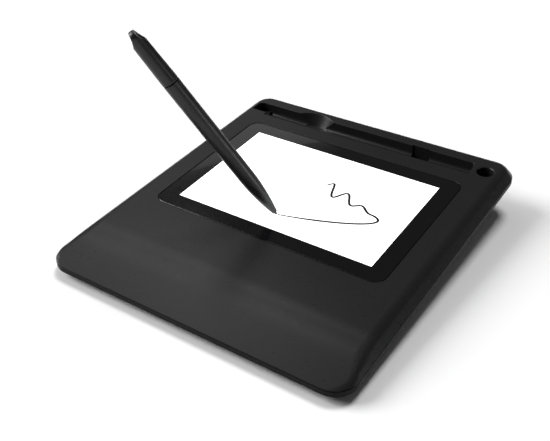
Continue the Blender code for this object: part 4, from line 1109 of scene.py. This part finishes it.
@dataclass
class Pen:
    """The pen: a long nosed barrel, a tail with two hollowed faces and an eyelet, a nib.

    The tail's spigot reaches into the barrel's bore, and its own bore starts in front of
    the spigot. tail_end_gap keeps the tail's end inside the CAD model's box.
    """

    length: float = 0.11
    tip: Point = (-0.002856, -0.024229, 0.0003)
    elevation: float = math.radians(59.3)
    azimuth: float = math.radians(32.64)
    roll: float = math.radians(13)
    mouth: float = 0.0016
    mouth_radius: float = 0.0013
    mouth_rim: float = 0.0001
    mouth_edge: float = 0.00008
    nose_length: float = 0.026
    nose_steps: int = 32
    nose_crowding: float = 1.4
    grip_radius: float = 0.00384
    seam: float = 0.0825
    seam_gap: float = 0.0003
    seam_radius: float = 0.00387
    seam_round: float = 0.0003
    seam_steps: int = 4
    bore: float = 0.0024
    nib_bore: float = 0.001
    bore_start: float = 0.0145
    spigot_gap: float = 0.0002
    spigot_wall: float = 0.0009
    spigot_length: float = 0.006
    tail_radius: float = 0.0035
    tail_shoulder: float = 0.1034
    tail_end_length: float = 0.0032
    tail_end_gap: float = 0.00005
    tail_end_steps: int = 12
    tail_bore_lead: float = 0.008
    tail_bore_setback: float = 0.0036
    tongue: float = 0.00235
    hollow_radius: float = 0.0109
    hollow_overhang: float = 0.0002
    hollow_sides: int = 256
    eyelet_length: float = 0.0042
    eyelet_width: float = 0.0017
    eyelet_setback: float = 0.0042
    nib_radius: float = 0.0006
    nib_neck: float = 0.0008
    nib_length: float = 0.034
    nib_steps: int = 8
    sides: int = 96
    small_sides: int = 48
    barrel_smooth_angle: float = math.radians(40)
    tail_smooth_angle: float = math.radians(34)

    def place(self) -> Matrix:
        """Finds the pen's place from its tip, its leaning and its roll.

        Returns:
            The place in the frame.
        """
        lean = Matrix.Rotation(self.elevation - math.pi / 2, 4, "Y")
        turn = Matrix.Rotation(self.azimuth, 4, "Z")
        roll = Matrix.Rotation(self.roll, 4, "Z")
        return PAD @ Matrix.Translation(self.tip) @ turn @ lean @ roll

    def barrel_profile(self) -> list[Flat]:
        """Draws the barrel's half section: mouth, nose, body, rear rim and bore.

        Returns:
            Points of (radius, station), closed by the first one.
        """
        profile = [
            (self.nib_bore, self.mouth + self.mouth_rim),
            (self.nib_bore + self.mouth_rim, self.mouth),
            (self.mouth_radius - self.mouth_rim, self.mouth),
        ]
        reach = self.grip_radius - self.mouth_radius
        for step in range(self.nose_steps + 1):
            share = (step / self.nose_steps) ** self.nose_crowding
            left = 1 - share
            station = self.mouth + self.mouth_edge + (self.nose_length - self.mouth) * share
            profile.append((self.mouth_radius + reach * (1 - left * left), station))
        rim = self.seam - self.seam_round
        for angle in quarter(self.seam_steps):
            radius = self.seam_radius - self.seam_round * (1 - math.cos(angle))
            profile.append((radius, rim + self.seam_round * math.sin(angle)))
        profile += [
            (self.bore, self.seam),
            (self.bore, self.bore_start + self.bore - self.nib_bore),
            (self.nib_bore, self.bore_start),
        ]
        return profile

    def barrel(self) -> None:
        """Builds the barrel."""
        piece = turn_on_lathe("barrel_shell", self.barrel_profile(), self.sides, closed=True)
        even_shading(piece, self.barrel_smooth_angle)
        put_in_place(piece, self.place())
        hand_over(piece, SATIN, "pen", "satin_black", "pen_barrel")

    def tail_profile(self, inner: float, spigot: float, start: float) -> list[Flat]:
        """Draws the tail's half section: spigot, front rim, taper and round end.

        Args:
            inner: The radius of the tail's bore.
            spigot: The spigot's radius.
            start: The station of the tail's front rim.

        Returns:
            Points of (radius, station).
        """
        front = start - self.spigot_length
        profile = [(inner, front), (spigot, front), (spigot, start)]
        for angle in quarter(self.seam_steps):
            radius = self.seam_radius - self.seam_round * (1 - math.sin(angle))
            profile.append((radius, start + self.seam_round * (1 - math.cos(angle))))
        profile.append((self.tail_radius, self.tail_shoulder))
        base = self.length - self.tail_end_length
        rise = self.tail_end_length - self.tail_end_gap
        for angle in quarter(self.tail_end_steps)[:-1]:
            profile.append((self.tail_radius * math.cos(angle), base + rise * math.sin(angle)))
        profile.append((0.0, base + rise))
        return profile

    def tail_blank(self) -> Object:
        """Models the tail before its faces are hollowed.

        Returns:
            The bored tail, still about Z.
        """
        start = self.seam + self.seam_gap
        spigot = self.bore - self.spigot_gap
        inner = spigot - self.spigot_wall
        blank = turn_on_lathe("tail_shell", self.tail_profile(inner, spigot, start), self.sides)
        low = start - self.tail_bore_lead
        high = self.tail_shoulder - self.tail_bore_setback
        section = [(0.0, low), (inner, low), (inner, high - inner), (0.0, high)]
        bore = turn_on_lathe("tail_bore", section, self.small_sides)
        open_piece(blank)
        bpy.ops.mesh.select_mode(type="VERT")
        bpy.ops.mesh.select_all(action="DESELECT")
        bpy.ops.mesh.select_non_manifold()
        bpy.ops.mesh.edge_face_add()
        bpy.ops.mesh.select_all(action="SELECT")
        bpy.ops.mesh.normals_make_consistent(inside=False)
        close_piece()
        cut_away(blank, bore)
        return blank

    def hollow_cutter(self, side: int) -> Object:
        """Models the round cutter that hollows one face of the tail.

        Args:
            side: 1 or -1, for the face along X or against it.

        Returns:
            The cutter.
        """
        clear_selection()
        away = side * (self.tongue / 2 + self.hollow_radius)
        bpy.ops.mesh.primitive_cylinder_add(
            vertices=self.hollow_sides,
            radius=self.hollow_radius,
            depth=4 * self.tail_radius,
            location=(away, 0.0, self.length + self.hollow_overhang),
            rotation=(QUARTER_TURN, 0.0, 0.0),
        )
        return bpy.context.object

    def eyelet_cutter(self) -> Object:
        """Models the long slot that goes through the tongue.

        Returns:
            The cutter: a cylinder across the pen whose halves are moved apart.
        """
        radius = self.eyelet_width / 2
        slide = self.eyelet_length / 2 - radius
        centre = self.length - self.eyelet_setback
        clear_selection()
        bpy.ops.mesh.primitive_cylinder_add(
            vertices=self.small_sides,
            radius=radius,
            depth=4 * self.tail_radius,
            location=(0.0, 0.0, centre),
            rotation=(0.0, QUARTER_TURN, 0.0),
        )
        cutter = bpy.context.object
        bpy.ops.object.transform_apply(location=True, rotation=True, scale=True)
        for way in (-1, 1):
            open_piece(cutter)
            bpy.ops.mesh.select_mode(type="VERT")
            bpy.ops.mesh.select_all(action="DESELECT")
            shape = bmesh.from_edit_mesh(cutter.data)
            for vertex in shape.verts:
                vertex.select_set(way * (vertex.co.z - centre) > MERGE)
            bmesh.update_edit_mesh(cutter.data)
            bpy.ops.transform.translate(value=(0.0, 0.0, way * slide))
            close_piece()
        return cutter

    def tail(self) -> None:
        """Builds the tail with its hollowed faces and its eyelet."""
        piece = self.tail_blank()
        cut_away(piece, self.hollow_cutter(1), self.hollow_cutter(-1), self.eyelet_cutter())
        even_shading(piece, self.tail_smooth_angle)
        put_in_place(piece, self.place())
        hand_over(piece, SATIN, "pen", "satin_black", "pen_tail")

    def nib(self) -> None:
        """Builds the nib: a round tip that runs into a thin stem."""
        profile = [(0.0, 0.0)]
        for angle in quarter(self.nib_steps)[1:]:
            station = self.nib_radius * (1 - math.cos(angle))
            profile.append((self.nib_radius * math.sin(angle), station))
        profile += [
            (self.nib_neck, self.mouth),
            (self.nib_neck, self.nib_length),
            (0.0, self.nib_length),
        ]
        piece = turn_on_lathe("nib_stem", profile, self.small_sides)
        even_shading(piece)
        put_in_place(piece, self.place())
        hand_over(piece, NIB, "nib", "nib", "pen_nib")

    def build(self) -> None:
        """Builds the pen's outer pieces."""
        self.barrel()
        self.tail()
        self.nib()


# Studio


@dataclass
class SoftBox:
    """A rectangular light that points at the pad."""

    name: str
    place: Point
    width: float
    height: float
    power: float
    aim: Point = (0.0, 0.0, 0.02)

    def build(self) -> None:
        """Adds the light."""
        data = bpy.data.lights.new(self.name, "AREA")
        data.shape = "RECTANGLE"
        data.size = self.width
        data.size_y = self.height
        data.energy = self.power
        light = add_to_scene(self.name, data)
        light.location = self.place
        direction = Vector(self.aim) - Vector(self.place)
        light.rotation_euler = direction.to_track_quat("-Z", "Y").to_euler()


@dataclass
class SoftSun:
    """A wide, distant light that falls evenly on the pad and on the whole floor.

    spread is in degrees. Where mirrored is off, glossy surfaces don't show the light.
    """

    name: str
    toward: Point
    spread: float
    strength: float
    mirrored: bool = True

    def build(self) -> None:
        """Adds the light."""
        data = bpy.data.lights.new(self.name, "SUN")
        data.energy = self.strength
        data.angle = math.radians(self.spread)
        light = add_to_scene(self.name, data)
        light.visible_glossy = self.mirrored
        light.rotation_euler = Vector(self.toward).to_track_quat("Z", "Y").to_euler()


@dataclass
class Studio:
    """White floor, soft light and the camera at the photo's angle.

    The camera's place and directions are in the pad's directions.
    """

    ambient: float = 0.05
    backdrop: float = 1.0
    floor_reach: float = 6.0
    paper_dark: Point = (0.9, 0.9, 0.9)
    paper_light: Point = (0.93, 0.93, 0.93)
    paper_roughness: float = 0.9
    paper_specular: float = 0.1
    fibre_scale: float = 900.0
    lens: float = 52.808
    sensor: float = 36.0
    camera_place: Point = (0.17737054, -0.27649082, 0.2281723)
    camera_right: Point = (0.82954028, 0.55678234, -0.04308532)
    camera_down: Point = (0.30522482, -0.51665091, -0.79994353)
    camera_ahead: Point = (-0.4676545, 0.65043467, -0.59852653)
    lights: list[SoftSun | SoftBox] = field(default_factory=lambda: [
        SoftSun("key_light", (-0.04, 0.37, 0.93), 21.0, 1.67, mirrored=False),
        SoftSun("left_light", (-0.788, -0.3, 0.543), 38.0, 3.1),
        SoftBox("left_rear_low_box", (-1.178, 1.033, 0.885), 0.93, 0.38, 0.48),
        SoftBox("left_rear_high_box", (-0.945, 0.49, 1.456), 0.76, 0.78, 3.0),
        SoftBox("right_box", (1.5, 0.46, 0.19), 0.6, 0.38, 3.2),
    ])

    def floor(self) -> None:
        """Adds the white floor, which isn't part of the object."""
        clear_selection()
        bpy.ops.mesh.primitive_plane_add(size=self.floor_reach)
        floor = bpy.context.object
        floor.name = "studio_floor"
        material = bpy.data.materials.new("white paper floor")
        sheet = NodeSheet(material)
        place = sheet.add("ShaderNodeTexCoord").outputs["Object"]
        fibre = sheet.add("ShaderNodeTexNoise", Vector=place, Scale=self.fibre_scale, Detail=4.0)
        sheet.set_shader(
            Base_Color=sheet.blend(fibre.outputs["Fac"], self.paper_dark, self.paper_light),
            Roughness=self.paper_roughness,
            Specular_IOR_Level=self.paper_specular,
        )
        floor.data.materials.append(material)

    def camera(self) -> None:
        """Adds the camera."""
        right, down, ahead = self.camera_right, self.camera_down, self.camera_ahead
        rows = [(right[i], -down[i], -ahead[i], self.camera_place[i]) for i in range(3)]
        data = bpy.data.cameras.new("photo_camera")
        data.lens = self.lens
        data.sensor_width = self.sensor
        camera = add_to_scene("photo_camera", data)
        camera.matrix_world = PAD @ Matrix((*rows, (0.0, 0.0, 0.0, 1.0)))
        bpy.context.scene.camera = camera

    def world(self) -> None:
        """Sets a dim surround that the camera sees as white, and plain tones."""
        world = bpy.data.worlds.new("studio_surround")
        world.use_nodes = True
        nodes = world.node_tree.nodes
        background = nodes["Background"]
        background.inputs["Color"].default_value = WHITE
        seen = nodes.new("ShaderNodeLightPath").outputs["Is Camera Ray"]
        ranged = nodes.new("ShaderNodeMapRange")
        ranged.inputs["To Min"].default_value = self.ambient
        ranged.inputs["To Max"].default_value = self.backdrop
        world.node_tree.links.new(seen, ranged.inputs["Value"])
        world.node_tree.links.new(ranged.outputs["Result"], background.inputs["Strength"])
        bpy.context.scene.world = world
        bpy.context.scene.view_settings.view_transform = "Standard"

    def build(self) -> None:
        """Builds floor, lights, surround and camera."""
        self.floor()
        for light in self.lights:
            light.build()
        self.world()
        self.camera()


def dress_inner_nodes() -> None:
    """Gives every CAD node that stays its finish, by the record's slots."""
    for part in frame["record"]["subparts"]:
        finish = NODE_FINISHES.get(part["material_slot"])
        if finish is None:
            continue
        for holder in frame["nodes"][part["node"]].material_slots:
            holder.material = finish.material()


def main() -> None:
    """Builds and dresses every piece, then the studio."""
    logging.basicConfig(level=logging.INFO, format="%(name)s: %(message)s")
    module_screws = Screws(
        "module_screw", shank=0.0009, head=0.0018, head_height=0.001, length=0.004,
        recess_width=0.0004, recess_depth=0.0006,
    )
    board_screws = replace(module_screws, kind="board_screw", turned=True, length=0.005)
    for assembly in (
        Covers(), DisplayGlass(), PenLine(), Feet(),
        Screws("case_screw"), module_screws, board_screws, Pen(),
    ):
        assembly.build()
    dress_inner_nodes()
    Studio().build()


if __name__ == "__main__":
    main()
